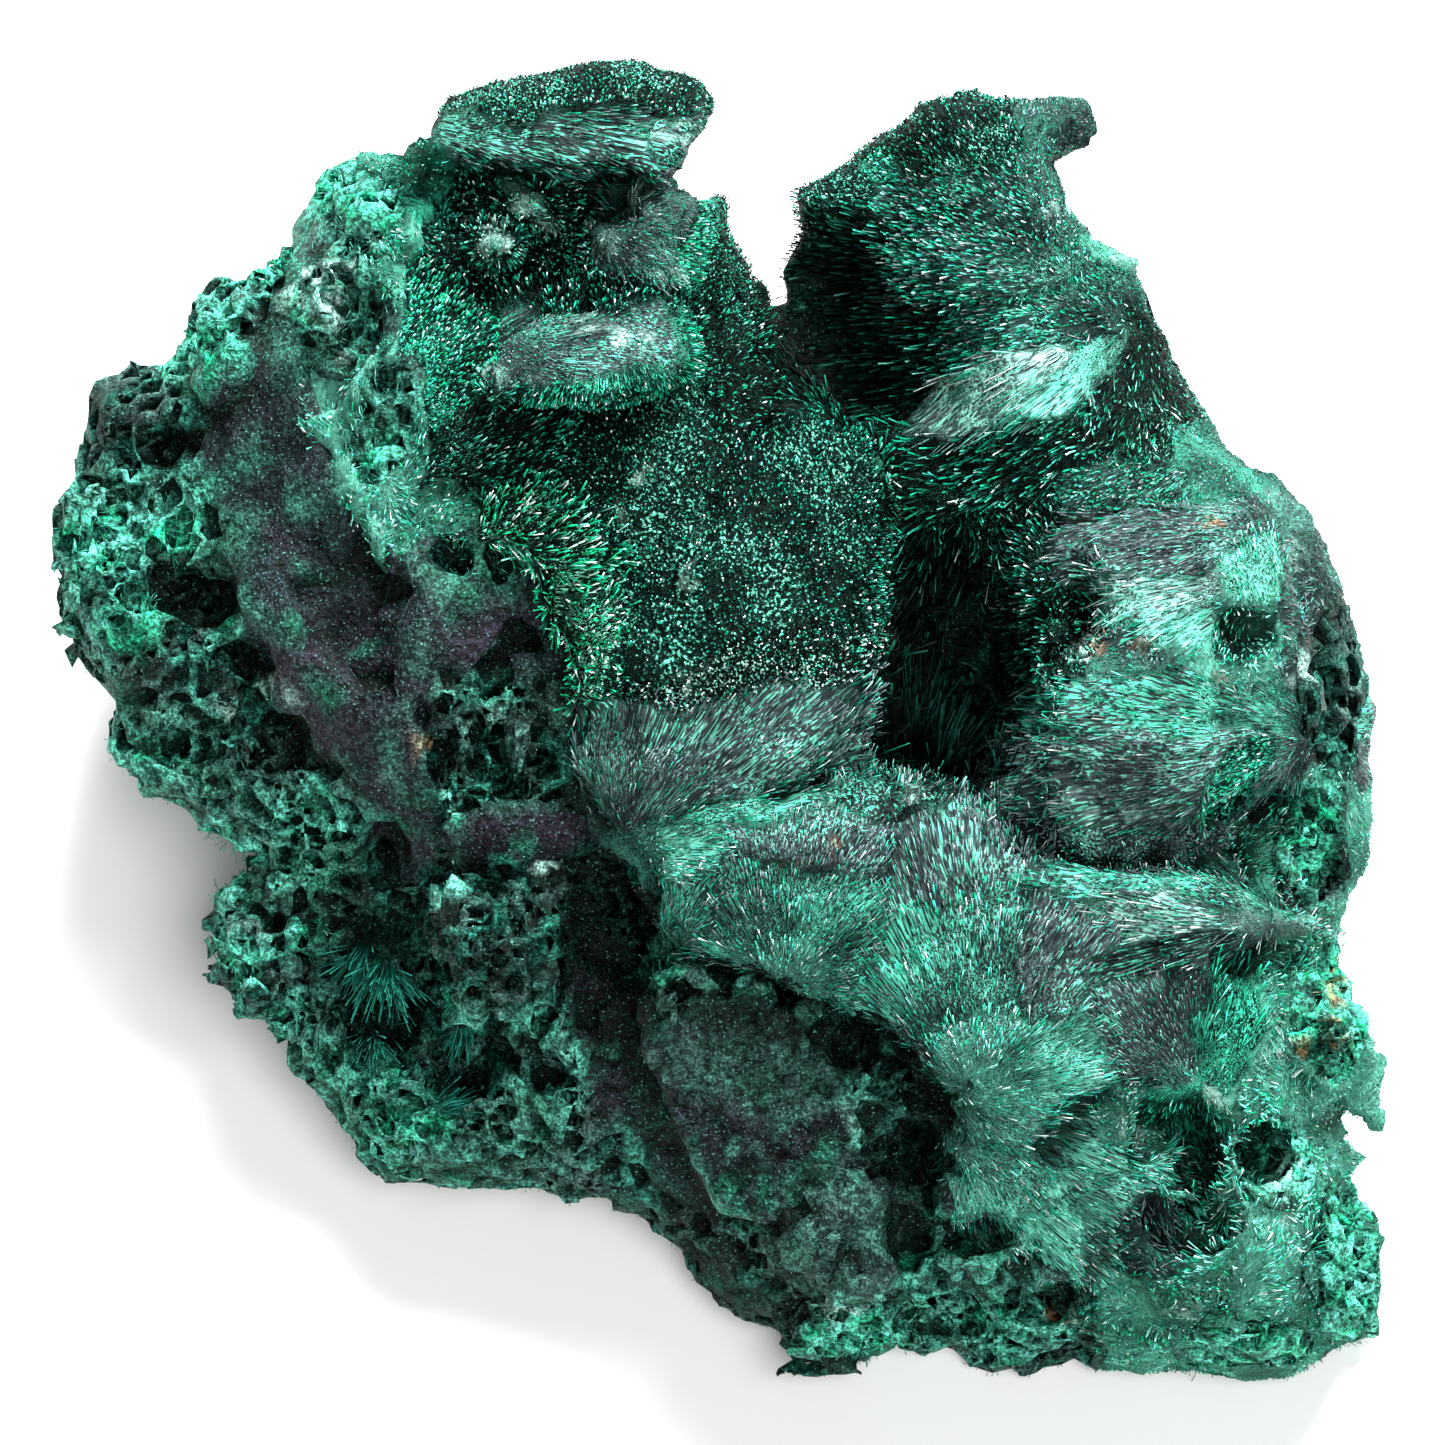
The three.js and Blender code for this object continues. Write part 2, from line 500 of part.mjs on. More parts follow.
// The surface of the field: one vertex in each grid cell that the surface crosses, joined by quads.
const NEAREST_CROSSING = 0.12; // how near to a grid point the surface may cross, in grid edges
function surfaceOf({ size, start, values, at }) {
  const positions = [];
  const indices = [];
  const vertexOf = new Map();
  function vertexIn(i, j, k) {
    const key = at(i, j, k);
    if (vertexOf.has(key)) return vertexOf.get(key);
    const sum = new THREE.Vector3();
    let crossings = 0;
    for (let n = 0; n < 8; n++)
      for (const bit of [1, 2, 4]) {
        if (n & bit) continue;
        const a = [n & 1, (n >> 1) & 1, n >> 2];
        const b = [(n | bit) & 1, ((n | bit) >> 1) & 1, (n | bit) >> 2];
        const fa = values[at(i + a[0], j + a[1], k + a[2])];
        const fb = values[at(i + b[0], j + b[1], k + b[2])];
        if (fa > 0 === fb > 0) continue;
        const t = THREE.MathUtils.clamp(fa / (fa - fb), NEAREST_CROSSING, 1 - NEAREST_CROSSING);
        sum.add(new THREE.Vector3(...a).lerp(new THREE.Vector3(...b), t));
        crossings++;
      }
    sum.divideScalar(crossings).add(new THREE.Vector3(i, j, k)).multiplyScalar(GRID);
    positions.push(sum.x + start[0], sum.y + start[1], sum.z + start[2]);
    vertexOf.set(key, positions.length / 3 - 1);
    return positions.length / 3 - 1;
  }
  const across = [[[0, 1, 0], [0, 0, 1]], [[0, 0, 1], [1, 0, 0]], [[1, 0, 0], [0, 1, 0]]];
  for (let k = 0; k < size[2] - 1; k++)
    for (let j = 0; j < size[1] - 1; j++)
      for (let i = 0; i < size[0] - 1; i++)
        for (let axis = 0; axis < 3; axis++) {
          const next = [i, j, k];
          next[axis]++;
          const here = values[at(i, j, k)] > 0;
          if (here === values[at(...next)] > 0) continue;
          const [s, t] = across[axis];
          const quad = [[0, 0], [1, 0], [1, 1], [0, 1]].map(([a, b]) =>
            vertexIn(i - a * s[0] - b * t[0], j - a * s[1] - b * t[1], k - a * s[2] - b * t[2]),
          );
          if (!here) quad.reverse();
          indices.push(quad[0], quad[1], quad[2], quad[0], quad[2], quad[3]);
        }
  const geometry = new THREE.BufferGeometry();
  geometry.setAttribute("position", new THREE.Float32BufferAttribute(positions, 3));
  geometry.setIndex(indices);
  return geometry;
}

// Evens out the facets: each vertex goes towards the mean of its neighbours and then as far back.
const RELAX_PULLS = [0.5, -0.52, 0.5, -0.52];
function relax(geometry) {
  const { array, count } = geometry.attributes.position;
  const index = geometry.index.array;
  const neighbours = Array.from({ length: count }, () => new Set());
  for (let n = 0; n < index.length; n += 3)
    for (let edge = 0; edge < 3; edge++) {
      const a = index[n + edge];
      const b = index[n + ((edge + 1) % 3)];
      neighbours[a].add(b);
      neighbours[b].add(a);
    }
  for (const pull of RELAX_PULLS) {
    const before = array.slice();
    for (let i = 0; i < count; i++)
      for (let axis = 0; axis < 3; axis++) {
        let mean = 0;
        for (const j of neighbours[i]) mean += before[3 * j + axis] / neighbours[i].size;
        array[3 * i + axis] += pull * (mean - before[3 * i + axis]);
      }
  }
  return geometry;
}

// Moves each point along its line of sight, so that what is nearer is as much smaller as it looks.
function undoPerspective(geometry) {
  const position = geometry.attributes.position;
  for (let i = 0; i < position.count; i++) {
    const nearer = 1 - position.getZ(i) / SEEN_FROM;
    position.setX(i, position.getX(i) * nearer);
    position.setY(i, position.getY(i) * nearer);
  }
  return geometry;
}

// Turns the face's frame [u, v, w] into the part's, with the base at z = 0.
function setOnBase(geometry) {
  const sin = Math.sin(FACE_LEAN);
  const cos = Math.cos(FACE_LEAN);
  const turn = new THREE.Matrix4().set(
    1, 0, 0, 0,
    0, sin, -cos, -BASE_DEPTH * cos,
    0, cos, sin, BASE_DEPTH * sin,
    0, 0, 0, 1,
  );
  return geometry.applyMatrix4(turn);
}

const wasm = await Module();
wasm.setup();

function solidFrom(geometry) {
  const bare = geometry.clone();
  bare.deleteAttribute("normal");
  bare.deleteAttribute("uv");
  const merged = mergeVertices(bare, 1e-4);
  return new wasm.Manifold(
    new wasm.Mesh({
      numProp: 3,
      vertProperties: merged.attributes.position.array,
      triVerts: new Uint32Array(merged.index.array),
    }),
  );
}

function geometryFrom(solid) {
  const mesh = solid.getMesh();
  const geometry = new THREE.BufferGeometry();
  geometry.setAttribute("position", new THREE.BufferAttribute(mesh.vertProperties, 3));
  geometry.setIndex(new THREE.BufferAttribute(mesh.triVerts, 1));
  geometry.computeVertexNormals();
  return geometry;
}

const field = sampleField();
makeWhole(field);
const rough = solidFrom(setOnBase(undoPerspective(relax(surfaceOf(field)))));
const wide = 4 * REACH.u;
const underBase = solidFrom(new THREE.BoxGeometry(wide, wide, wide).translate(0, 0, -wide / 2));
const specimen = geometryFrom(rough.subtract(underBase));

const malachite = new THREE.Mesh(
  specimen,
  new THREE.MeshStandardMaterial({ color: 0x12694f, roughness: 0.62, metalness: 0, flatShading: true }),
);
malachite.name = "malachite";

const group = new THREE.Group();
group.add(malachite);

export default group;
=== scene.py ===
"""Malachite hand specimen: its cellular crust, its fibrous masses and the needles on them.

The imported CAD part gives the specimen's place, size and main forms. The same forms are grown again here on
a fine grid, the crust is opened into cells, and needles are set over the fibrous masses, in sprays that
start where the real ones do.

The forms are laid out in millimetres in the frame of the show face: u runs to the right across the face,
v up it and w out of it. to_part() turns them into the part's own metres.
"""

import functools
import itertools
import math

import bpy
import numpy as np
from bpy.props import FloatProperty, FloatVectorProperty, IntProperty, PointerProperty
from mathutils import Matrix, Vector


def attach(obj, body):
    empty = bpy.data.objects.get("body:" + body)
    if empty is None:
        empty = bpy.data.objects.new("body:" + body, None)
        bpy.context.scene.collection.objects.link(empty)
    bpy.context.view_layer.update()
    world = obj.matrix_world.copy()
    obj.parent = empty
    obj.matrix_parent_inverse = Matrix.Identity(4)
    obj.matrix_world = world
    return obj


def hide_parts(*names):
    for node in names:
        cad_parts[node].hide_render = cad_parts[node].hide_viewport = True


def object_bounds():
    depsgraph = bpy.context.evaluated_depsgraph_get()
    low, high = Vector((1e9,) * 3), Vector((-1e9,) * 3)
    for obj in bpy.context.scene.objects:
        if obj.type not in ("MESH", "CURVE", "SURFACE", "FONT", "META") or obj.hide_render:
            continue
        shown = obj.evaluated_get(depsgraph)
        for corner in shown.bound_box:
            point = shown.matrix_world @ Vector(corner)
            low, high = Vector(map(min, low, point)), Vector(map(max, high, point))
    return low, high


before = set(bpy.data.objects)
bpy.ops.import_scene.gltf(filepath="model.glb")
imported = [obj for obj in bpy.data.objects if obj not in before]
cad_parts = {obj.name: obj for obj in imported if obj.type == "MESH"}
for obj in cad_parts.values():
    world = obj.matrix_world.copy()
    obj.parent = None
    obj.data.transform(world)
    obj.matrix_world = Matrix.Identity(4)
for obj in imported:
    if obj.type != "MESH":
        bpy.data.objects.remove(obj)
CAD_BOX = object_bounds()

bl_info = {
    "name": "Malachite Specimen",
    "version": (1, 0, 0),
    "blender": (4, 5, 0),
    "location": "View3D > Sidebar > Malachite",
    "description": "Grows a hand specimen of fibrous malachite around its CAD solid",
    "category": "Add Mesh",
}

BODY = "root"
NODE = "malachite"

# How the show face lies in the part, the same as in the CAD source.
FACE_LEAN = math.radians(70)  # how far the face is turned up from the vertical
BASE_DEPTH = 20.0  # from the face's rim plane to the base, at the middle of the face
SEEN_FROM = 535.0  # the outlines are drawn as seen from this far in front of the rim plane
REACH = {"u": 47.5, "v": 46.5, "back": 37.0, "front": 24.0}  # of the grid that the forms are grown on
SEED = 20
PHOTO_WIDTH = 96.33  # what the photograph's frame spans at the rim plane
SENSOR = 36.0  # width of the camera's sensor

# The lights, in metres.
KEY_PLACE = (0.16, 0.5, 0.52)
FILL_PLACE = (0.12, -0.3, 0.6)
LAMP_SIZE = 0.42
LIT_POINT = (0, 0, 0.02)

# The rim of the face, clockwise from the leftmost point, as (u, v).
RIM = [
    (-44.4, 11.3), (-43.4, 13.2), (-43, 15.2), (-42.1, 18.5), (-41, 22), (-38.3, 23.5), (-36.4, 23.7),
    (-35.4, 26), (-34.3, 28.5), (-33, 29.3), (-31.8, 29.1), (-29.6, 30.8), (-28.9, 32.1), (-27, 34.5),
    (-26.4, 36.8), (-24.5, 37.6), (-22.5, 37.4), (-21, 36.7), (-19.7, 38.9), (-19.1, 41), (-17, 42.3),
    (-13, 43.2), (-8.4, 44.1), (-5.5, 44), (-1.5, 42.8), (-0.5, 41.6), (-1, 39.8), (-2.8, 37.4),
    (-3.7, 35.2), (-1.6, 34.9), (-0.2, 34.7), (-0.2, 32.4), (0.7, 30.6), (1.6, 28.4), (3.1, 28.9),
    (4, 30.6), (5.6, 32.8), (5.3, 35.1), (7.3, 36), (9.5, 37.6), (13.5, 40.2), (16, 41.4), (20, 41.8),
    (23.9, 41.4), (24.6, 39.4), (22.6, 38.3), (21.2, 37.4), (22.2, 34.8), (24.3, 31.9), (27.3, 30.6),
    (28.5, 26.8), (31, 21.8), (33.2, 17.6), (35, 16.1), (36.6, 16.1), (38.8, 13.8), (40.8, 9.5),
    (42.4, 4.8), (43.4, 0.8), (42.7, -3), (43.4, -6.4), (42.4, -9.7), (41.2, -11.6), (40.4, -15),
    (42.2, -18.2), (43.1, -22), (42.2, -24.6), (40.3, -26.2), (41.4, -28), (43, -29), (41.4, -31.2),
    (42.9, -32.4), (44, -35.4), (44.4, -37), (43.3, -39.6), (41, -41.9), (38, -43.4), (35, -43.8),
    (30.5, -42.8), (28.3, -43.2), (25, -43), (23.4, -41.8), (20, -43.5), (16.9, -42.5), (15.5, -41.3),
    (13.5, -41.8), (11.5, -41), (8.2, -43.1), (6.8, -43.9), (5.2, -42.3), (3.5, -40.4), (0, -38.6),
    (-2.4, -35), (-5, -32.8), (-8, -31.2), (-10.5, -31.6), (-12.2, -30.7), (-18, -30.8), (-22.5, -30.3),
    (-24.4, -28.4), (-26.3, -25), (-28.6, -23.2), (-28.7, -20.3), (-31, -18.5), (-33.1, -16),
    (-32.3, -12.8), (-31.2, -9.2), (-34.5, -6.6), (-38.6, -4.6), (-40.7, -1.8), (-39.8, 1.4),
    (-42.1, 4.8), (-42.7, 8.6),
]

# The lowest forms of the face, which the other masses stand on, as (u, v, w).
GROUND_RELIEF = [
    (-41, 12, 2), (-39, 20, 2), (-36, 22, 3), (-38, 8, 4), (-34, 15, 6), (-31, 21, 6), (-28, 27, 6),
    (-32, 27, 3), (-38, 1, 2), (-35, 3, 5), (-33, -4, 3), (-28, 4, 10), (-24, 12, 11), (-26, 18, 9),
    (-24, 24, 10), (-22, 30, 9), (-24, 35, 5), (-21, 5, 13), (-21, -3, 11), (-27, -3, 8), (-28, -9, 4),
    (-30, -14, 2), (-27, -17, 2), (-26, -22, 1), (-23, -27, 2), (-18, -28.5, 4), (-10, -29, 5),
    (-22, -11, 5), (-14, -26, 5), (-8, -24, 6), (-7, -15, 6), (-6, -20, 6), (-3, -31, 3),
    (3, -37, 4), (8, -41, 4), (15, -38, 6), (22, -40, 6), (30, -41, 7), (37, -41, 7), (42, -37, 3),
    (41.5, -33, 3), (38, -30, 9), (38, -36, 10), (33, -37, 11), (27, -32, 14), (20, -32, 14),
    (36, -20, 10), (35, -25, 11), (40, -12, 3), (38, -6, 6), (41, 3, 3), (38, 11, 6), (33, 15, 8),
    (24, 40, 2), (20, 40, 2), (16, 39, 3), (20, 34, 6), (12, 36.5, 2), (7.5, 34.5, 1), (25, 30, 2),
    (15, 30.5, 7), (9.5, 32, 0), (6.5, 30, -4), (3, 27.5, -6), (8, 25.5, -5), (12, 23, -3),
    (14.5, 25.5, 5), (13, 19.5, 3), (20, 25, 8), (26, 26, 4), (22, 20, 9), (29, 22, 3), (18, 15, 8),
    (25, 17, 9), (15, 11, 5), (10, 19, -2), (20, 8, 6), (-15, 31, 4), (-5, 22, 7), (-12, 6, 10),
    (0, 5, 8), (0, -10, 9), (15, -15, 10), (27, 0, 9), (-13, -7.5, 11), (-12, 38, 4), (-4, 31, 4),
]

# How deep the back of the mass is behind the rim plane, as (u, v, w). The base cuts the low parts.
BACK_RELIEF = [
    (0, 0, -35), (0, -30, -30), (-25, 0, -27), (30, 0, -29), (-30, 20, -19), (-12, 30, -19),
    (-10, 41, -8), (20, 39, -9), (24, 41, -6), (22, 28, -15), (8, 30, -15), (2, 20, -28),
    (34, -30, -28), (-25, -25, -24), (-38, 10, -14), (12, -40, -20),
]

# Masses on the face: outline as (u, v), front as (u, v, w), the depth that each starts from, and how
# much its edge is rounded.
MASSES = {
    "dome": {"back": -10, "round": 2.2, "outline": [
        (-21, 20), (-23.5, 25), (-22.4, 30), (-20, 35), (-12, 36.4), (-3.8, 35.6), (-0.6, 34.2),
        (0.3, 31), (2.4, 26.2), (5, 22.4), (8, 19.5), (10.2, 17.6), (10.7, 13), (10.2, 8), (10.6, 2.4),
        (9, -0.2), (7.4, -3.4), (2, -5.6), (-7, -8.2), (-9.6, -3), (-9, 4), (-12, 9.5), (-17, 12.5),
        (-18.6, 17)
    ], "front": [
        (-22, 24, 11), (-21, 32, 10), (-17.5, 34, 2.5), (-17.5, 30, 4), (-12, 34, 1.5), (-12, 30.5, 3),
        (-9.4, 34, 3), (-10, 29, 6), (-15, 28, 8), (-19, 26, 10.5), (-7, 33, 11.5), (-3, 33.5, 11),
        (-3, 30, 12), (-7, 29.5, 10.5), (-1.2, 33.5, 7), (0.6, 28, 8), (-1.5, 25, 11), (-8, 21, 11.5),
        (-16, 20, 10.5), (4.5, 21.5, 11.5), (9, 17, 11), (10, 11, 12.5), (10, 5, 14), (4, 14, 16),
        (-2, 15, 15.5), (-10, 15, 13.5), (-15, 15.5, 11.5), (-10, 9, 12.5), (-4, 9, 16.5), (4, 7, 19),
        (0, 5.2, 20), (-6, 3.4, 17.5), (8.5, 3, 17.5), (0, 0, 19), (6, -1.5, 17.5), (-4, -3.5, 17.5),
        (-7, -7, 16), (-9, 1, 14.5)
    ]},
    "visor": {"back": -4, "round": 1.6, "outline": [
        (-19.4, 39.6), (-18.7, 41.3), (-17, 42.3), (-13, 43.2), (-8.4, 44.1), (-5.5, 44), (-1.5, 42.8),
        (-0.5, 41.6), (-1, 39.8), (-2.8, 37.4), (-4, 35.4), (-7, 36.3), (-10.5, 36), (-14, 37),
        (-17.5, 37.2), (-20, 37.6)
    ], "front": [
        (-18, 40.5, 5), (-8, 43.2, 3.5), (-2, 42, 5), (-2, 40, 8.5), (-5.5, 37.2, 12), (-10, 37, 12),
        (-16, 37.8, 9), (-10, 40, 9)
    ]},
    "lip": {"back": 4, "round": 1.4, "outline": [
        (-16, 23.2), (-14.5, 25.6), (-12, 27.2), (-9, 27), (-5, 28), (-2.6, 28.6), (-1.7, 26),
        (-2.2, 23.6), (-4.2, 22.3), (-8, 21.6), (-12, 21.8), (-14.8, 22.4)
    ], "front": [
        (-15, 23.4, 15), (-12, 26.5, 13), (-3, 28, 12.5), (-3, 24, 16), (-8, 22.4, 17.5)
    ]},
    "lower_fans": {"back": -5, "round": 1.8, "outline": [
        (-4.6, -9.5), (-7.2, -7.4), (-2, -4.6), (4, -4.8), (8, -3.8), (12, -4.6), (15, -4.7),
        (17, -5.6), (19.5, -7.4), (22, -9), (24, -12), (33, -14.6), (32.4, -20), (31.6, -24),
        (28, -24.6), (24, -25.4), (21.5, -28), (25.5, -33), (24.5, -38), (18, -36.6), (15.4, -30),
        (16, -26), (13, -21.4), (8, -19.4), (3, -17.4), (-2, -16), (-4.2, -14)
    ], "front": [
        (-5, -8, 16), (0, -6.5, 18), (8, -5, 17.5), (14, -5.6, 16.5), (19, -8.5, 15.5), (4, -16, 17),
        (0, -12, 18), (10, -12, 19.5), (17, -14, 18), (22, -12, 17.5), (17, -22, 19), (12, -20, 16.5),
        (25, -17, 18), (30, -18, 15.5), (30, -22.5, 15), (24, -24, 17.5), (20, -29, 16), (23, -36, 13),
        (17.5, -34, 12.5)
    ]},
    "upper_shoulder": {"back": -6, "round": 1.5, "outline": [
        (20.6, 12.4), (25, 13.4), (28.4, 14.5), (31, 14), (34.4, 14.6), (36.4, 13), (37.8, 10), (39, 6),
        (40, 2), (39.7, -0.7), (37, -3.2), (34, -5.2), (31, -7), (30.4, -9.6), (24, -9.8), (22, -8),
        (21.2, -4), (21.5, 0), (21.4, 5), (21, 9)
    ], "front": [
        (21.5, 12, 10.5), (28, 13.8, 13), (34, 14, 9.5), (25.5, 10, 14.5), (23.6, 7, 11),
        (22.4, 3, 17.5), (22.4, -4, 17.5), (23, -8.5, 15.5), (28, 4, 17.5), (30, -2, 17.5), (34, 8, 14),
        (36, 4, 12.5), (38.5, -0.5, 10), (33, -5, 13), (29, -8.5, 12.5)
    ]},
    "lower_shoulder": {"back": -3, "round": 1.5, "outline": [
        (21.6, -9.4), (24, -10.2), (30, -10.4), (34, -11), (39.4, -13), (40.2, -14.2), (36, -15),
        (32, -15.4), (26, -15.6), (22, -14)
    ], "front": [
        (23, -12, 17.5), (30, -12.4, 17), (39, -13.6, 7), (26, -15, 16), (34, -12.6, 13.5)
    ]},
    "plate": {"back": -4, "round": 1.0, "outline": [
        (-5, -17), (-2, -15.8), (1, -16.8), (4, -17.8), (8, -19.4), (11, -20.8), (13, -24.5),
        (13, -27.2), (10, -29.2), (9, -31), (6, -31.7), (3, -33), (0.3, -32.4), (-1.5, -29.6),
        (-3, -26.6), (-4.6, -23.4), (-5.5, -20.6)
    ], "front": [
        (-4, -19, 12.5), (-4.6, -22.8, 11.5), (0, -31.4, 10), (4.5, -30.5, 11.5), (0, -24, 13),
        (6, -22.5, 12.5), (10, -25.5, 13), (12, -26.8, 12.5), (0, -18, 14.5), (8, -20.4, 13)
    ]},
    "foot_lobes": {"back": -4, "round": 1.6, "outline": [
        (3.6, -31.2), (8, -29.9), (12.4, -31), (14.4, -34), (12.6, -37), (9.6, -38.8), (7.4, -38.6),
        (5.6, -36.6), (4.4, -34)
    ], "front": [
        (5, -32, 10), (9, -31.5, 12), (12, -33, 12.5), (8, -38, 9.5), (6, -35, 10.5)
    ]},
}

# Rounded lumps that stand on the masses: centre (u, v, w) and radii.
LUMPS = [
    ((-13.8, -14, 5), (7.6, 5.6, 8.5)),  # the cellular boulder at the lower left
    ((40, -21.4, 3), (3.3, 4.4, 5.2)),  # the rind knob at the right
    ((-29.5, -14, -3), (4.5, 6.5, 7)), ((-41, 12, -3), (3.5, 6, 6)), ((41, -36.5, 0), (3.5, 5, 6)),
    ((6.5, -40.5, -1), (2.6, 3.2, 6)), ((1.6, -18.2, 12.6), (2.2, 1.6, 2.8)),
    ((5.8, -19.6, 12), (2, 1.4, 2.6)), ((-2.4, -17.4, 12.4), (2, 1.6, 2.6)),
    ((-15.2, 32, 6.5), (1.5, 1.5, 5)),  # the nodule in the upper recess
    ((-12.6, 34.4, 6), (2, 1.2, 5)), ((-15, 23.2, 14.6), (1.3, 1.1, 2.2)),
    ((-25.6, 28.4, 8), (2.6, 2.8, 3.2)), ((-33, 24, 3), (2.2, 4.5, 3.5)),
    ((6.6, -34.6, 8.6), (2.8, 2.6, 3)), ((9.4, -32.6, 10), (3.2, 2.4, 3.2)),
    ((9.4, -36.8, 7.6), (2.6, 2, 3.4)),
]

# Hollows taken out of the masses: centre (u, v, w) and radii.
HOLLOWS = [
    ((15.6, 3.6, 8), (5.9, 9.4, 15)),  # the deep cavity in the middle of the face
    ((14.8, -1.4, 6), (6, 4.2, 12)),
    ((31.8, -28.8, 8), (2, 3.8, 14)),  # the two tunnels at the lower right
    ((35.8, -29, 8), (1.8, 2.3, 8)), ((30.6, -27.2, 15), (3.4, 2.6, 6)),
    ((32.2, -33.2, 12), (2.8, 2, 4)), ((9, -21.4, 14), (1.9, 1.9, 8)),
    ((13.9, -24.8, 16), (2.2, 2.2, 8)), ((13.2, -28.8, 12), (3, 2.8, 10)),
    ((12.4, -34.2, 11), (1.9, 2.9, 8)), ((16.6, -34, 12), (2.5, 1.9, 6)),
    ((19.2, -37, 11), (1.8, 1.6, 5)), ((15, -40.2, 6), (4, 2.2, 6)), ((22.4, -39.2, 8), (2.3, 1.9, 5)),
    ((-18.4, 11.2, 12), (2, 1.5, 6)), ((-15.1, 11.2, 12), (0.9, 1.9, 5)),
    ((-13.4, 5.8, 13.6), (1.3, 1.2, 5)), ((-15.4, 3.9, 13), (1, 0.8, 4)),
    ((-12.4, -0.6, 14.6), (1.7, 2.7, 4.5)), ((-14.9, -1.6, 13), (0.5, 2.6, 4)),
    ((-16.2, -0.6, 13), (0.5, 2.2, 4)), ((-15.6, 1.6, 13), (0.5, 1.2, 4)),
    ((-18.6, -2.2, 12.6), (1.1, 1.8, 4)), ((-19.8, 0.4, 12.6), (1, 1.6, 4)),
    ((-22.2, -17.6, 4), (4.2, 5.6, 9)),  # the cavity with fibre sprays at the lower left
    ((-17.2, -22.6, 6), (3.6, 2.8, 9)), ((-12, -23.6, 7), (1.8, 1.5, 6)),
    ((-22.8, -8.4, 8), (2.2, 3, 5)), ((-7.4, -14.4, 9), (3.2, 5, 6)), ((-35, 8.2, 6), (3.4, 2.4, 5)),
    ((-37.4, 18.6, 4), (2.8, 1.8, 5)), ((-32, 4.2, 7), (2.4, 2.2, 4)), ((-36, -1.4, 4), (2.6, 2, 4)),
    ((-29, -2, 8), (2.2, 2.2, 4)), ((-33.4, 31, 3), (1.6, 2.2, 3)), ((-27.2, 32, 7), (1.2, 2.6, 4)),
    ((38.2, -5.6, 8), (2.2, 2.4, 4.5)), ((40.8, -9.2, 4), (2, 2.6, 4)),
    ((35.6, -7.6, 9), (1.4, 2.2, 4)), ((33.2, -16.8, 13), (1.4, 2.6, 4)),
    ((35.6, 5.6, 14), (2.4, 1.6, 3)), ((40.4, 2.4, 5), (1.8, 3, 3.5)),
    ((23.8, 7.4, 14), (1.9, 2.6, 4)), ((-25.6, 7.8, 12), (4.4, 6, 3)),
    ((-18.9, 33.8, 9), (1.2, 1.8, 5)), ((-9, 34.4, 9), (2.6, 1.8, 6)),
]

RIM_ROUND = 3.0  # how much the edge between the face and the sides is rounded
RIM_SPARE = 0.5  # makes good what the rounding takes off the rim
SIDE_TAPER = 0.42  # how fast the sides draw in behind the rim
TAPER_FROM = 4.0  # depth at which they start to
FACE_ENDS = (-7.0, 3.0)  # depth at which the face's own patches are gone, and over how much they fade
FACE_SLOPE = 0.75  # turns height over a sloping relief into distance from it
ROUGHNESS = [(0.6, 7.0), (0.3, 3.4)]  # height and size of the lumps that are in the CAD solid too
FINE_ROUGHNESS = [(0.28, 1.7), (0.16, 0.9)]  # and of the finer ones that are only here
RIM_HEIGHT = 0.5  # the face's height at its rim
MARGIN = 3.0  # a mass is worked out this far past its outline
LUMP_MARGIN = (1.4, 2.0)  # a lump or a hollow is worked out to this many radii and this much more

# The part of the face where the mass is a cellular crust. The rest is fibrous.
CRUST_OUTLINE = [
    (-60, 60), (-23, 60), (-23.5, 36), (-27, 31), (-29.5, 26), (-26.5, 19), (-24, 14), (-21.5, 10.4),
    (-17, 12.6), (-13.5, 12.2), (-10.4, 9.4), (-9.4, 3), (-9.6, -3), (-8, -7.4), (-4.6, -9), (-4, -14),
    (-2, -16), (3, -17.2), (8, -19), (11, -20.8), (14.6, -22), (15.4, -26), (15, -30), (17, -35.4),
    (23, -37), (25, -42), (25, -60), (-60, -60),
]

# Patches, as centre (u, v), radii and any turn in degrees: those of the crust that stay smooth and
# granular, those with cells wherever they lie, those like bunches of grapes, and the greener smooth ones.
SMOOTH_PATCHES = [
    ((-29.5, 20), (6.4, 5.6), 30), ((-26, 6.5), (5.6, 9.4), 25), ((-21.6, -5.5), (2.2, 5.4), 10),
    ((-13.4, -7.4), (5, 1.8)), ((-16, 8), (6.4, 4.6), -20), ((1, -25.5), (6.8, 6.6)),
    ((8, -33.5), (5, 4.6)), ((-7.4, -20), (2.6, 6.5), 10), ((-24, 27), (3.4, 7.5), 20),
]
CELL_PATCHES = [
    ((-25.6, 27), (3.2, 4), 20), ((-22.6, 19.8), (2.3, 5), -16), ((-24, 33.6), (2.8, 3.8), 10),
    ((40.6, 2), (1.9, 7)), ((39.2, -8.4), (2.4, 4.6)), ((20, -41.5), (6, 2.4)),
    ((40.6, -19), (2.6, 5.4)), ((36.8, -29.4), (2.8, 2.6)), ((41.6, -36), (2.4, 5.4)),
    ((35, -41.4), (5, 1.8)),
]
GRAPE_PATCHES = [((1, -24), (7, 7.4)), ((8.6, -34), (5.2, 5)), ((-7.2, -20), (2.6, 6.4), 10)]
GREEN_PATCHES = [((1.8, -22), (7, 4.2), -10), ((8.4, -34), (5, 4.6)), ((-25.6, 21), (2.6, 6), 24)]

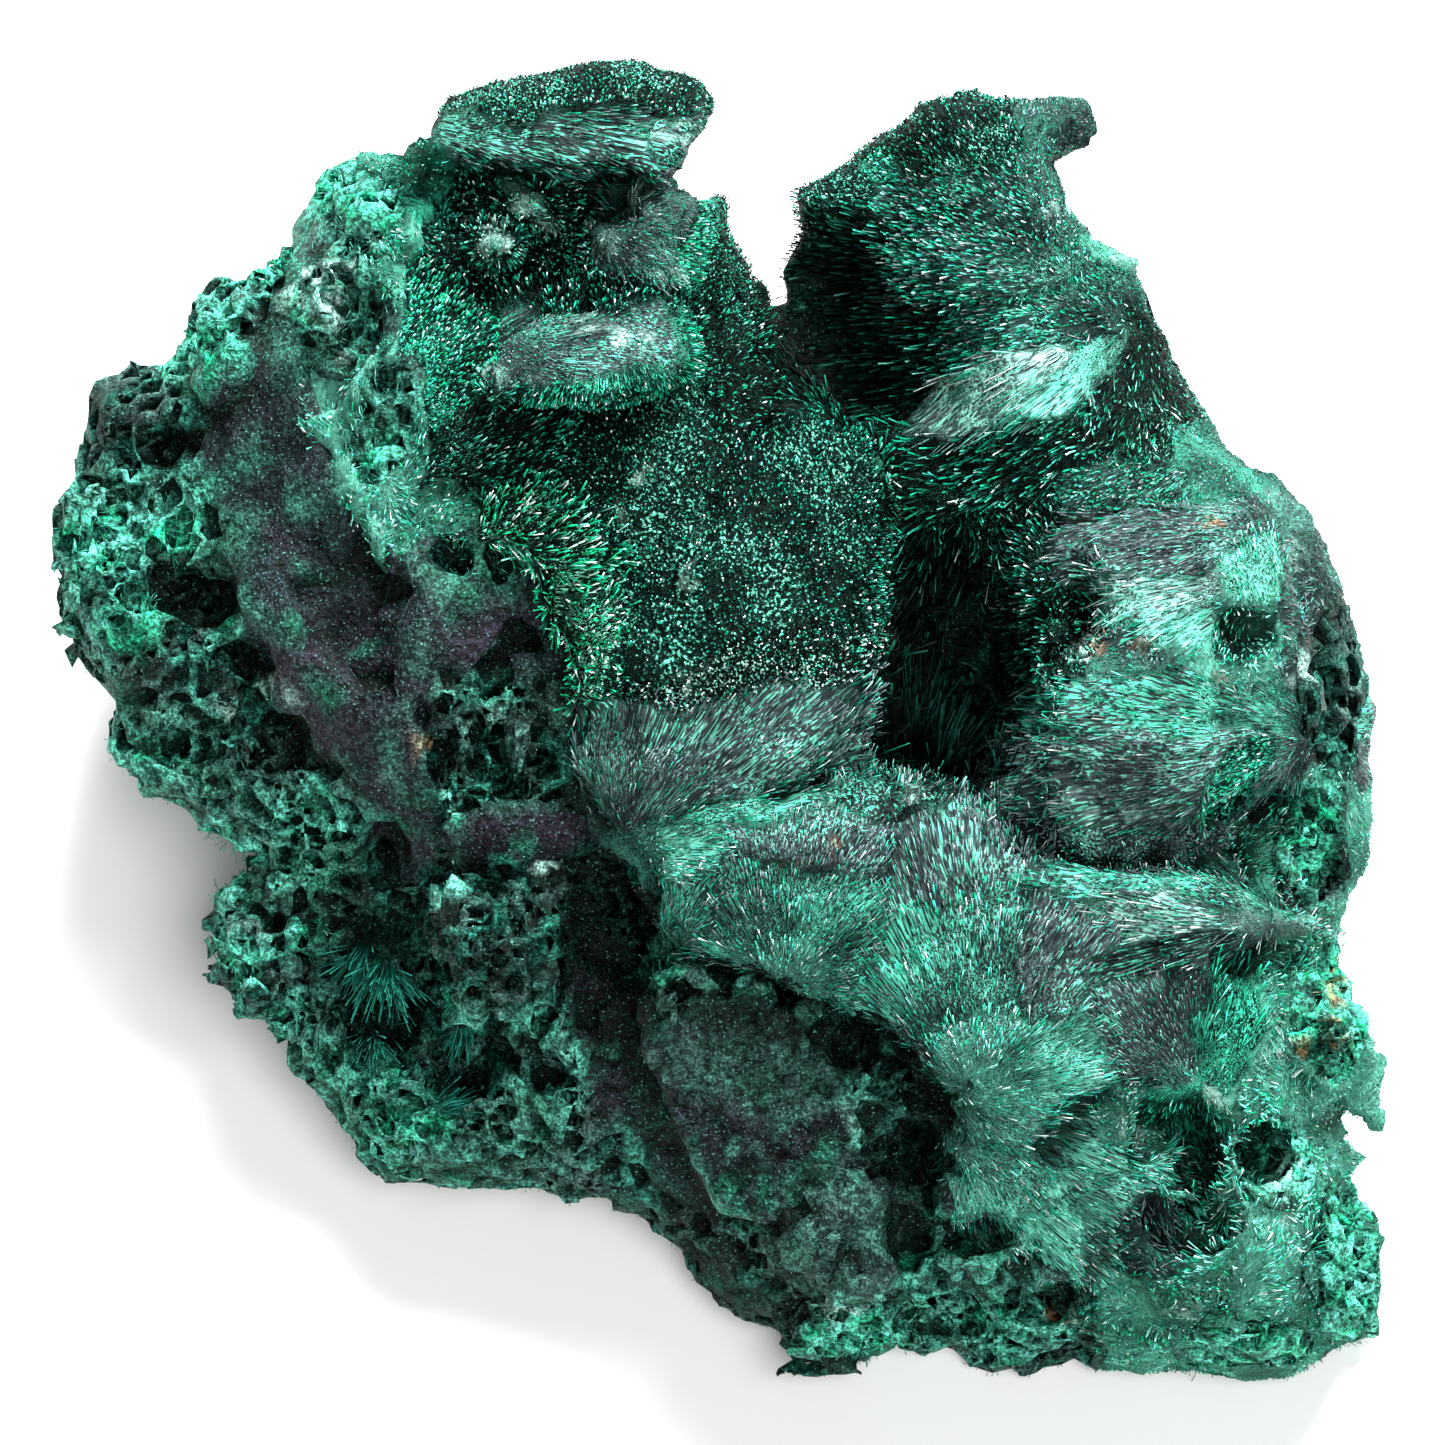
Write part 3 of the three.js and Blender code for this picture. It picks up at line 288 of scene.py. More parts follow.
# The cells that the crust is opened into and the grapes that it is raised into, coarse and fine.
CRUST_CELLS = [
    {"size": 2.2, "wall": 0.42, "depth": 2.3, "seed": 31},
    {"size": 1.2, "wall": 0.36, "depth": 1.2, "seed": 41},
]
GRAPES = [{"size": 2.1, "height": 0.9, "seed": 51}, {"size": 0.9, "height": 0.4, "seed": 61}]
GRAPE_REACH = 1.5  # they are worked out this near to the surface
GRAPE_LEVEL = 0.6  # share of their height that lies below the old surface
LEAST_COVER = 0.02  # where a patch covers less than this, it does nothing
CELL_REACH = (0.4, 1.6)  # cells are worked out this far off the surface, and this many depths into it
CELL_BENDS = (0.35, 1.6)  # height and size of the bends in their walls, in sizes of a cell
CELLS_OPEN = (1.35, 0.9)  # how open they are on the face, and how much that varies
SIDE_CELLS_VARY = 1.1  # how much it varies on the sides
SIDE_CELLS_OVER = 3.0  # the cells of the sides come in over this depth
WALLS_VARY = (0.8, 2.0)  # how much their walls vary, and over how many sizes of a cell
CLOSED_WALL = 3.0  # thickness of the walls, in sizes of a cell, where the crust stays closed
SHALLOWEST = 0.35  # the shallowest cells, in depths

# The crust's edges and roughness, how the bodies meet, and the needles.
PATCH_EDGE = (1.15, 0.3)  # a patch ends this far out, in radii, and fades over this much
RAGGED = (0.3, 1.2)  # height and size of the crust's own roughness
CELL_PATCH = 6.0  # size of the patches where cells are more or less open
SIDE_CELLS = 0.6  # how fully the sides and the back are eaten
SIDE_CELLS_BELOW = -4.0  # depth at which that starts
EDGE_FADE = 1.5  # the crust and the needles' bed come in over this much, off the line between them
CRUST_FROM = -5.5  # the fibrous masses end at about this depth, and the crust goes on below them
BACK_FROM = -7.0  # the crust below this depth is a body of its own
SMALLEST_SHELL = 2000  # a shell of fewer vertices is left out
NEAR_FILL = 0.66  # reach, in mm, of the look round that finds ridges and pits
WIDE_FILL = 2.6  # and of the look that finds hollows
SEAM_OVERLAP = 0.5  # how far two bodies go into each other
SEAM_WAVES = (2.2, 7.0)  # height and size of the waves in the depths that bodies end at
EDGE_WAVES = (0.8, (2.6, 2.2))  # height and sizes of the waves in the crust's outline
ROOT_PAINTED_SHADE = {"velvet": 0.12, "silk": 0.5, "felt": 0.3}  # how light a needle's root is against its tip: painted shade down among the needles
SHADE_SPREAD = {"velvet": 0.4, "silk": 0.22, "felt": 0.35}  # how unlike needles are in brightness
BUNDLE_HEIGHT = 0.32  # relief of the bundles of fibres
BUNDLES = [(0.6, 0.11), (0.4, 0.045)]  # share of it and width, as an angle from the apex, of each kind
STEP_HEIGHT = 0.8  # greatest step from one spray to the next
RIM_SHORTENING = 2.5  # the needles get shorter this near to the rim
APEX_SHORTENING = 6.0  # and this near to the apex of their spray
SPRAY_WAVES = [(0.8, 3.4), (0.3, 1.1)]  # height and size of the waves in the edges between sprays
SWIRL_SIZE = 2.4  # size of the swirls of fibres
SWIRL_REACH = 8.0  # where a spray has no apex, its fibres come from this far away
BOX_EASE = 0.0008  # over this much, in metres, what would stand out of the CAD part's box is eased in
NEEDLE_BED = 0.3  # how far the fibrous masses lie below the tips of their needles
LEAN_RANGE = (0.6, 1.4)  # shares of its spray's lean, length and width that a needle has
LENGTH_RANGE = (0.55, 1.25)
WIDTH_RANGE = (0.7, 1.3)
SHORTEST = 0.3  # share of its length that a needle keeps at the rim or at the apex
ROOT_DEPTH = 0.06  # the roots lie this deep in the stone
CRUST_CROWD = {"all over": 0.12, "ridge": 0.5, "felt": 1.2}  # how crowded the needles of the crust are
CRUST_SWIRL = 1.8  # size of the swirls that they lie in
CRUST_UPRIGHT = 0.7  # how much they stand up, and stray, against lying in the swirls
CRUST_STRAY = 0.4
CRUST_LENGTHS = (0.35, 0.6)  # how long they are, and how much longer in the patches of felt
CRUST_LENGTH_RANGE = (0.6, 1.3)
CRUST_WIDTH_RANGE = (0.6, 1.1)
CRUST_TEAL = 0.5  # how far at most they turn to teal
MINT_SHARE = 0.1  # the share of them that turn to mint, and how far
MINT_TURN = 0.8
# the crust felt's roots are darker than their tips: painted shade
CRUST_ROOT_PAINTED_SHADE = 0.6
TUFT_SPREAD = 0.3  # how far apart the roots of a tuft are
TUFT_LENGTH_RANGE = (0.5, 1.1)
TUFT_DARKNESS = 1.5  # over 1, more of a tuft's needles are dark than light
# the tufts' tips are lighter than their roots: painted light and shade
TUFT_TIP_PAINTED_LIGHT = 1.2
NEEDLE_WIDTHS = {"silk": 0.68, "felt": 0.85, "crust felt": 0.8, "tufts": 0.9}  # against wider ones
UNEVENNESS = [(0.3, 2.9), (0.32, 1.5)]  # share and size of the waves in a lump's or a hollow's outline

# Sprays of needles. Each starts at its apex (u, v, w), and its needles point away from it. A point of the
# face belongs to the spray whose ellipse it is nearest to, given by centre (u, v), radii and turn in
# degrees. Then come the needles' length in mm, how far at least they stand off the face in degrees, and
# the dress. Without an apex the needles lie in swirls.
SPRAYS = [
    ((-12, 42), (8, 1.8), 0, (-14, 30, -8), 0.6, 40, "velvet"),
    ((-10, 38.6), (9, 2.2), -3, (-24, 41, 4), 1.3, 6, "dark silk"),
    ((-3.6, 38.6), (2.4, 1.6), 0, (-20, 42, 3), 1.3, 5, "dark silk"),
    ((-13.2, 32.2), (4.6, 3.6), 0, (-13.5, 30, -14), 0.9, 60, "velvet"),
    ((-15.1, 32), (1.5, 1.5), 0, None, 0.12, 40, "bright felt"),
    ((-12.8, 34.4), (2.4, 1.2), -40, None, 0.15, 40, "bright felt"),
    ((-9, 28.8), (5, 1.6), 0, (-10, 22, 4), 0.83, 30, "velvet"),
    ((-5.4, 32.4), (3.8, 3.6), 0, (-9, 33, 8), 1.39, 7, "dusty slate"),
    ((-1.9, 31), (1.2, 3.4), 0, (-9, 32, 8), 0.65, 14, "emerald"),
    ((-8.6, 25), (6.6, 2.6), 6, (-18, 24, 10), 0.4, 12, "dusty slate"),
    ((-8.4, 22.3), (7, 0.9), 4, (-8, 30, 15), 0.56, 18, "emerald"),
    ((-2, 25.4), (0.9, 3), 0, (-9, 26, 15), 0.61, 20, "emerald"),
    ((-18.4, 24), (3.2, 5), 0, (-27, 17, 4), 0.65, 20, "emerald"),
    ((-14.6, 19), (5.4, 3.4), 20, (-25, 13, 4), 1.12, 18, "velvet"),
    ((-4.5, 17), (6.4, 6), 0, (-4, 12, -4), 0.68, 50, "velvet"),
    ((4, 13), (6.6, 8), 0, (1, 8, -4), 0.68, 50, "velvet"),
    ((0.4, 25), (3, 7.4), 14, (-9, 19, -4), 1.1, 36, "shaded velvet"),
    ((-2.6, 8), (5.6, 4.4), 0, (-6, 7, -4), 0.6, 50, "velvet"),
    ((-13.6, 14), (3, 1.8), 0, (-19, 9, 6), 1.8, 24, "spark"),
    ((-10.4, 10.4), (2.6, 3.4), 0, (-17, 9, 6), 2.25, 22, "spark"),
    ((-8.2, 6.4), (1.8, 3.2), 0, (-13, 4, 8), 1.8, 24, "spark"),
    ((3.4, 3.6), (7, 2), 14, (3, 2, 2), 0.7, 60, "glint velvet"),
    ((0, -1.6), (9, 3.6), 20, (-7.5, -9.5, 13), 1.31, 4, "slate"),
    ((-6.6, -3), (2.2, 3), 0, (-7.5, -9.5, 12), 1.16, 5, "slate"),
    ((2.6, -5.6), (7, 1.1), 14, (-7, -9, 13), 1.38, 5, "teal"),
    ((-3.6, -8.6), (3.4, 2.2), 0, (-8, -9, 14), 1, 8, "bright silk"),
    ((-2.6, -12), (2.6, 2.8), 0, (-5, -17, 13), 1, 6, "teal"),
    ((3.8, -12.6), (5, 4), 0, (3.8, -18, 14), 1.22, 5, "teal"),
    ((4, -15.8), (3.2, 1.8), 0, (3.8, -19, 16), 1, 6, "bright silk"),
    ((6, -8), (5, 2), 0, (4, -18, 13), 1.16, 6, "slate"),
    ((11, -4.9), (4.4, 1.4), 0, (9, -20, 6), 1.53, 13, "dark silk"),
    ((15.6, -9), (4.4, 3.6), 0, (17, -25, 14), 1.44, 5, "slate"),
    ((16.6, -16), (4.6, 5.4), 0, (17, -25, 14), 1.44, 4, "teal"),
    ((17, -21), (2.6, 2.8), 0, (17, -25.6, 17), 1.1, 5, "bright silk"),
    ((22.6, -15.6), (3, 5), -30, (16, -26, 14), 1.53, 4, "slate"),
    ((22, -22.4), (4.4, 2.6), 20, (15.6, -24.6, 15), 1.68, 4, "bright silk"),
    ((27.4, -19.4), (3.4, 3.4), 0, (32, -25.4, 12), 0.77, 12, "slate"),
    ((21, -27.6), (5, 2), -14, (15, -24.6, 14), 1.44, 4, "bright silk"),
    ((18, -31), (4.6, 3), 0, (15, -24, 13), 1, 7, "bright silk"),
    ((22, -35.4), (6.4, 3.4), 0, (14, -27, 13), 0.97, 8, "bright silk"),
    ((28, -35.4), (2.6, 2.6), 0, None, 0.97, 12, "dusty slate"),
    ((29.4, -39.4), (4, 3), 0, None, 0.9, 14, "felt"),
    ((29.4, -12.8), (7, 1.3), -4, (38.5, -13.8, 11), 2.01, 3, "silk"),
    ((25.4, -10.8), (4, 1), 0, (38, -13.4, 10), 1.38, 5, "teal"),
    ((34, -11.4), (3.6, 1.6), 10, (38.6, -13.8, 8), 1.22, 6, "teal"),
    ((29.6, -15.4), (6.4, 1.2), 8, (39, -12.6, 11), 1.44, 4, "dark silk"),
    ((27, -8.6), (5, 1.4), 0, (27, -9, 0), 0.83, 25, "slate"),
    ((29.6, 0.6), (9.2, 2), 0, (40.4, -0.7, 10), 1.53, 4, "teal"),
    ((29, -3), (8.8, 3), 0, (40.4, -0.7, 8), 1.53, 4, "slate"),
    ((34, -3.6), (3.6, 2), 30, (40.6, -0.4, 6), 0.75, 10, "emerald"),
    ((28.6, 12), (7.6, 1.6), 10, (38, 12.5, 6), 1, 6, "slate"),
    ((28, 8.6), (4, 2), -6, (38, 10.4, 10), 1.86, 4, "silk"),
    ((30.8, 6.4), (3, 2), 0, (37.4, 9.6, 10), 1.44, 4, "bright silk"),
    ((34.2, 5.2), (2.8, 2.4), 0, None, 0.81, 16, "bright felt"),
    ((35.6, 9.4), (1.4, 3), 0, (37.4, 2, 8), 1.08, 8, "bright felt"),
    ((38.6, 8), (2, 5), 0, None, 0.83, 13, "slate"),
    ((23.6, 5.4), (1.8, 3.4), 0, (24, 4, 2), 0.8, 60, "shaded velvet"),
    ((20.4, 8.6), (1.6, 4), 0, (26, 8, 4), 1.05, 26, "velvet"),
    ((26.6, 3.8), (3.6, 1.3), 20, None, 0.7, 15, "dusty slate"),
    ((14.6, 38.6), (7, 2.2), 24, (21, 30, -6), 0.83, 30, "velvet"),
    ((11.4, 37), (2.4, 1.5), 30, (20, 33, 0), 0.65, 16, "emerald"),
    ((22, 40.6), (2.8, 1.6), 0, None, 0.83, 17, "dusty slate"),
    ((15.4, 34.4), (6, 3), 0, (29, 30, 2), 0.71, 16, "slate velvet"),
    ((17, 30), (6.4, 2.4), 0, (30, 29.6, 4), 0.94, 12, "slate velvet"),
    ((22, 35), (3, 3), 0, (28, 31, 4), 0.56, 20, "slate velvet"),
    ((26.2, 31.2), (2.2, 0.8), -20, None, 0.5, 20, "felt"),
    ((7.6, 30), (4, 4), 0, (30, 29, -4), 1.68, 12, "shaded silk"),
    ((8, 24), (6, 4.4), 0, (30, 26.6, -4), 1.82, 12, "shaded silk"),
    ((22, 27), (6, 2.2), 16, (31, 29, 4), 1.03, 9, "slate velvet"),
    ((18, 22.6), (5.6, 2), 30, (31, 29.6, 6), 2.32, 4, "silk"),
    ((24, 23.4), (4, 1.6), 34, (32, 29, 4), 1.99, 4, "bright silk"),
    ((27.4, 22), (3.6, 4.4), 30, (32, 28.6, 2), 1.2, 12, "velvet"),
    ((20, 17.6), (6, 1.8), 12, (33, 24, 0), 1.35, 16, "velvet"),
    ((27, 16.4), (5, 1.3), -4, (36, 20, 2), 0.56, 18, "slate velvet"),
    ((32.4, 17.4), (2.6, 2.4), -40, None, 0.61, 12, "teal"),
    ((12.8, 15.4), (2.6, 4.4), 0, (20, 17, 0), 2, 24, "shaded velvet"),
    ((16, 11.6), (3.4, 2), 0, (16, 16, 0), 2.2, 22, "shaded velvet"),
    # The deep cavity's dress is near black, as painted shade.
    ((14.8, 2.4), (4.4, 7.4), 0, (12, -12, -6), 4.2, 16, "cavity"),
    ((34.4, -19.6), (1.8, 4.4), -8, (31, -28, 8), 2.16, 7, "dark felt"),
    ((37.8, -17.6), (3, 3), 0, None, 0.99, 14, "felt"),
    ((38, -23), (3.6, 4), 0, None, 0.99, 14, "bright felt"),
    ((40.6, -20.6), (1.6, 3.4), 0, None, 0.36, 24, "felt"),
    ((37.4, -28.6), (3.4, 3), 0, None, 0.99, 14, "bright felt"),
    ((30.4, -25.8), (2.6, 1.4), 0, (32, -22, 10), 1.08, 12, "dark felt"),
    ((27, -26.8), (1.6, 1.8), 0, None, 0.72, 16, "bright felt"),
    ((36, -35.6), (4, 3.4), 0, None, 1.26, 13, "bright felt"),
    ((34, -41), (5, 2.4), 0, None, 0.9, 14, "felt"),
    ((40.6, -36.4), (2, 4.6), 0, None, 0.72, 18, "felt"),
    ((39.6, -7.4), (2.4, 3.6), 0, None, 1.08, 14, "bright felt"),
    ((36.4, -9.6), (2.6, 2.4), 0, (32, -10, 4), 0.9, 12, "felt"),
    ((-23.4, 32), (2.6, 4.4), 10, None, 0.72, 16, "felt"),
    ((-24.6, 26.6), (2.8, 3.4), 20, None, 0.72, 16, "bright felt"),
    ((-22, 20), (2.2, 4.4), -16, None, 0.81, 16, "bright felt"),
    ((-18.6, 14.4), (2, 2.6), 0, None, 0.63, 17, "felt"),
    ((-20, 36.4), (2, 1.8), 0, None, 0.63, 18, "dark felt"),
]

# The dresses of the sprays: the colour of the stone below, how crowded the needles are, how far their
# directions stray, the group of needles that they belong to, and how often they have each colour. Pale
# needles are painted glints and sheen, most of all in the glint velvet and the silk.
DRESSES = {
    "velvet": ("pit", 1.1, 0.2, "velvet", {
        "pit": 36, "deep": 28, "emerald": 20, "teal": 7, "mint": 6, "pale": 3}),
    # Many pale needles: painted glints.
    "glint velvet": ("pit", 1.3, 0.22, "velvet", {
        "pit": 38, "deep": 20, "emerald": 14, "teal": 7, "mint": 7, "pale": 14}),
    # Darker dresses for recesses and the cavity: painted shade.
    "shaded velvet": ("pit", 1.0, 0.2, "velvet", {
        "pit": 54, "deep": 20, "emerald": 18, "teal": 4, "mint": 3, "pale": 1}),
    "shaded silk": ("pit", 0.8, 0.08, "velvet", {
        "pit": 60, "deep": 22, "emerald": 12, "teal": 4, "mint": 2}),
    "slate velvet": ("deep", 1.1, 0.14, "velvet", {
        "pit": 14, "deep": 24, "slate": 14, "emerald": 28, "teal": 12, "mint": 6, "pale": 2}),
    "cavity": ("pit", 0.3, 0.16, "velvet", {"pit": 84, "deep": 13, "emerald": 3}),
    "emerald": ("deep", 1.2, 0.16, "velvet", {
        "deep": 14, "vivid": 16, "emerald": 34, "teal": 20, "mint": 12, "pale": 4}),
    "spark": ("pit", 1.1, 0.24, "velvet", {
        "pit": 12, "deep": 8, "vivid": 36, "emerald": 16, "mint": 14, "pale": 14}),
    "slate": ("charcoal", 1.0, 0.035, "silk", {
        "slate": 50, "charcoal": 12, "pit": 6, "deep": 6, "emerald": 11, "teal": 8, "mint": 5, "pale": 2}),
    "dusty slate": ("charcoal", 1.2, 0.13, "silk", {
        "slate": 38, "charcoal": 12, "pit": 13, "deep": 10, "emerald": 15, "teal": 8, "mint": 3,
        "pale": 1}),
    "teal": ("deep", 1.0, 0.04, "silk", {
        "slate": 25, "charcoal": 5, "pit": 7, "deep": 9, "emerald": 27, "teal": 18, "mint": 7, "pale": 2}),
    "dark silk": ("pit", 1.0, 0.04, "silk", {
        "pit": 30, "deep": 22, "slate": 20, "emerald": 16, "teal": 7, "mint": 4, "pale": 1}),
    "silk": ("slate", 1.3, 0.03, "silk", {
        "pit": 13, "slate": 30, "emerald": 14, "teal": 13, "mint": 18, "pale": 12}),
    "bright silk": ("deep", 1.1, 0.05, "silk", {
        "pit": 5, "slate": 14, "emerald": 27, "teal": 29, "mint": 19, "pale": 6}),
    "felt": ("deep", 1.1, 0.22, "felt", {
        "pit": 8, "deep": 8, "vivid": 14, "emerald": 20, "teal": 24, "mint": 20, "pale": 6}),
    "bright felt": ("deep", 1.2, 0.22, "felt", {
        "pit": 4, "vivid": 15, "emerald": 10, "teal": 29, "mint": 34, "pale": 8}),
    "dark felt": ("deep", 0.9, 0.24, "felt", {
        "pit": 26, "deep": 24, "vivid": 8, "emerald": 24, "teal": 12, "mint": 6}),
}
LIGHT_COLOURS = ("vivid", "emerald", "teal", "mint", "pale")
LIGHT_SHARE = {"velvet": 0.25, "silk": 0.9, "felt": 0.85}  # how much the stone below has of them

# How the colours vary. A pair is the least and how much is added to it, unless it says otherwise.
MOTTLE_CONTRAST = 0.9  # of all mottling
CRUST_MOTTLES = (7.0, 2.2, 0.7)  # sizes of the broad, the patchy and the fine mottling of the crust
RIDGE_FILL = (0.46, 0.2)  # a ridge has less stone near it than this, and comes in over this much less
FELTED_RIDGE_FILL = (0.52, 0.2)  # the same for the ridges that felt grows on
GROOVE_FILL = (0.51, 0.13)  # a groove has more
HOLLOW_FILL = (0.4, 0.25)  # and so has a hollow of the crust, looked at more widely
FIBRE_HOLLOW_FILL = (0.5, 0.22)
HOLLOW_PAINTED_SHADE = 0.9  # how much painted shade darkens the hollows and grooves, from 0 to 1
GROOVE_PAINTED_SHADE = 0.8
RIDGE_SPARED = 0.6  # how much less painted shade a ridge in a hollow gets
FLECKS_FROM = (0.75, 0.25)  # green flecks lie where the fine mottling is over this
PATCH_SHARPNESS = 1.7  # how much sharper the smooth patches end in colour than in shape
VEIN_FAINTNESS = 0.75  # how much fainter the veins are on the smooth patches
CELL_GREEN = (0.05, 0.25)  # how far the cells are from the pits' colour to deep green
CREST_GREEN = (0.15, 0.5)  # how far the ridges are from deep green to emerald
CREST_TURNS = {"slate": 0.5, "teal": 0.7, "mint": 0.6}  # and, in patches, from there to these
RIDGE_SHOWN = (0.25, 0.55)
GRANULAR_SHADE = 0.75
GRANULAR_TURNS = {"charcoal": 0.7, "deep": 0.4, "emerald": 0.5}
GRANULAR_GREEN = (0.2, 0.35)
SPARSE_FELT = 0.35  # strength of the felt that lies off its patches
FELT_THINNED = 0.7  # how much less felt there is on the smooth patches
FELT_SHOWN = (0.25, 0.6)
VEIN_SHIFT = (0.9, 0.7)  # how far the mottling moves a vein to the side and up
VEIN_SHOWN = (0.3, 0.7)
DUST_GRAINS = [(0.3, 0.9), (0.3, 0.4)]  # share and size
DUST_GRAIN = (0.42, 0.3)  # dust and rust lie where the grain is over this, and come in over this much
# How strong the painted shade of the shaded patches (pit), the dust and the rust are.
DUST_AND_SHADE_STRENGTHS = {"pit": 0.75, "dust": 0.7, "rust": 0.65}
FIBRE_MOTTLE = 3.0
# how much painted shade darkens the packed fibres in hollows
FIBRE_HOLLOW_PAINTED_SHADE = 0.85
SHARE_VARIES = 0.3  # how much the share of light fibres varies
FIBRE_SHADES = (0.7, 0.6)  # darkest shade of the packed fibres, and how much lighter they get
NEEDLE_MOTTLE = 2.6
NEEDLE_SHADES = (1.1, 0.4)  # mean shade of the needles, and how much it varies from place to place
SHADE_LIMITS = (0.2, 2)

# Patches of felt on the crust, of pale dust, of rusty specks and of painted shade, written as those above.
FELT_PATCHES = [
    ((-41.5, 12.4), (3, 2.2)), ((-36.3, 13.2), (1.8, 2.2), -20), ((-20, -26.4), (2.4, 1.8), 10),
    ((-22.6, -23.4), (1.4, 1.2)), ((-27, -14.5), (1.6, 1.2)), ((-31.8, -16), (1.3, 1.6)),
    ((-34.4, 24), (3, 2.4)), ((-29, 33), (2, 4), -30), ((-39.6, 6.6), (2.4, 2)),
    ((-33.4, -9), (1.6, 3), 10), ((-31, 17.6), (1, 2.4), 10), ((-13.6, 15), (3, 2)),
    ((9, -40.8), (3.4, 1.4)), ((-16, 10), (4.6, 2.4), -10), ((-4.6, -16.4), (1.6, 1.2)),
    ((39, -7), (2, 4)), ((40.4, -19), (3.4, 6.4)), ((36.8, -29.4), (3.4, 3.4)),
    ((-25.2, 27), (3.6, 4.6), 20), ((-22.2, 19.8), (3, 5.8), -16), ((-24, 33.6), (3.4, 4.6), 10),
    ((41, -36), (3.4, 6.4)), ((35, -41.4), (6, 2.6)),
]
DUST_PATCHES = [
    ((-15.2, 32), (1.2, 1.2)), ((-12.8, 34.4), (1.8, 0.8), -40), ((-26.6, 29.6), (2.2, 1), 20),
    ((-5.8, 34.8), (0.9, 1.2), 20), ((-8.1, 32.1), (1.3, 0.8), -30), ((-3.4, 30), (1, 0.8)),
    ((-9, 26.6), (1, 0.5), 10), ((-7.9, 24.7), (0.5, 0.5)), ((-5.1, 25), (0.6, 1.3), -10),
    ((-6.4, 25.8), (1, 0.6), 30), ((-3.4, 39), (1.8, 0.9), 20), ((-27, 28.6), (2, 1.4), -40),
    ((-25.6, 25.6), (0.9, 2), 10), ((-15, 23), (1.1, 0.9)), ((-30.2, 2.6), (1.7, 0.6), -40),
    ((-32.8, 0.9), (0.9, 0.6)), ((24, 4.4), (2, 0.8), 45), ((28.8, 6.4), (1.6, 0.6), 45),
    ((34.6, 2.6), (1.8, 0.8), -20), ((38.4, 2.8), (1, 0.8)), ((38.2, 11.2), (0.6, 1.2), 10),
    ((23.8, -5.4), (1.3, 0.9)), ((27.9, -5.8), (1, 0.5)), ((12.5, -4.7), (0.9, 0.6)),
    ((27, 30.8), (1.4, 0.6), -20), ((22.6, 34.2), (1.4, 0.6), 20), ((7.6, -39.4), (2.2, 0.6), -20),
    ((31, -39.4), (1.6, 0.6)), ((36.4, -22), (1.2, 0.6)), ((32.6, -24.8), (1.4, 0.5), -30),
    ((27.4, -27.6), (0.6, 1.6), 30), ((-11.6, -9.4), (0.8, 0.35), 10), ((-2.4, 2.6), (0.5, 1.2)),
    ((37.6, -31), (1, 2.4), -10), ((-17, -20.4), (1.4, 0.6), -50), ((-5.6, 15.4), (0.8, 2), -30),
    ((-2.2, 9.6), (0.6, 1)),
]
RUST_PATCHES = [
    ((32.9, 13.4), (0.9, 0.4), 25), ((27.9, 5.1), (0.8, 0.6)), ((25, 5), (0.7, 0.5), 30),
    ((33.6, 2.9), (0.8, 0.5), -20), ((-19.8, -0.6), (0.6, 1.2)), ((40.8, -17.4), (0.8, 1.2)),
    ((41.2, -20.6), (0.8, 1.4)), ((38.6, -21.6), (0.6, 0.6)), ((22.4, -39.4), (1, 0.8)),
    ((7.4, -8.6), (0.4, 0.6)), ((4.2, -9), (0.7, 0.4)), ((-30, 16.4), (0.5, 0.3)),
]
PAINTED_SHADE_PATCHES = [
    ((-7.6, -15.6), (3.2, 7.4), 6), ((15.6, 3.6), (5, 8.6)), ((7.6, 27), (5, 6)),
    ((-24, -17), (4, 6), 20), ((1.6, -19.4), (6, 1.4), -10), ((12.4, -27), (2.6, 6)),
]

# Pale veins and ridges on the crust, as lines of (u, v).
VEINS = [
    [(-28.3, 13.2), (-28.7, 15), (-26.7, 15.7), (-24.4, 15.3), (-22.4, 14.3), (-21.3, 12), (-20.3, 9.3),
     (-19.9, 6.2), (-20.7, 2.3), (-22.2, 0.1), (-22, -3.2)],
    [(-31.2, 14.8), (-31.7, 12), (-31.9, 8.5), (-30.2, 6), (-28.5, 3.6), (-26, 1.1)],
    [(-31.4, 12.8), (-30.4, 13.2), (-29.3, 12.4)],
    [(-21.5, -14), (-21.3, -15.2), (-19.6, -17.7), (-18, -18.9), (-16.6, -20.2), (-15.8, -22.2),
     (-14.1, -23.8), (-13.3, -24.6)],
    [(-5.2, -21.6), (-4.4, -23.4), (-3, -26.6), (-1.6, -29.4), (-0.4, -31.4), (1.6, -32.4)],
    [(0, -29.6), (2.4, -27.8), (4.6, -26.8), (6.6, -25.4), (9.4, -25)],
    [(6.2, -37.4), (8.4, -38.7), (10.6, -38), (13.4, -36.6)],
    [(8.6, -31.4), (9.4, -33.6), (11, -35.6), (13.6, -37.4)],
    [(-11.5, -21.6), (-8.6, -21.9), (-6.2, -21.6)],
    [(24, -26), (28, -25.6), (29.6, -24.6), (31.2, -24.1), (32.9, -25.4)],
    [(-18, -4.4), (-17.4, -8), (-18.2, -11), (-20.2, -12.6)],
]
VEIN_WIDTH = 0.45
VEIN_HEIGHT = 0.25
VEIN_FOOT = 1.6  # how much wider their relief is than their colour
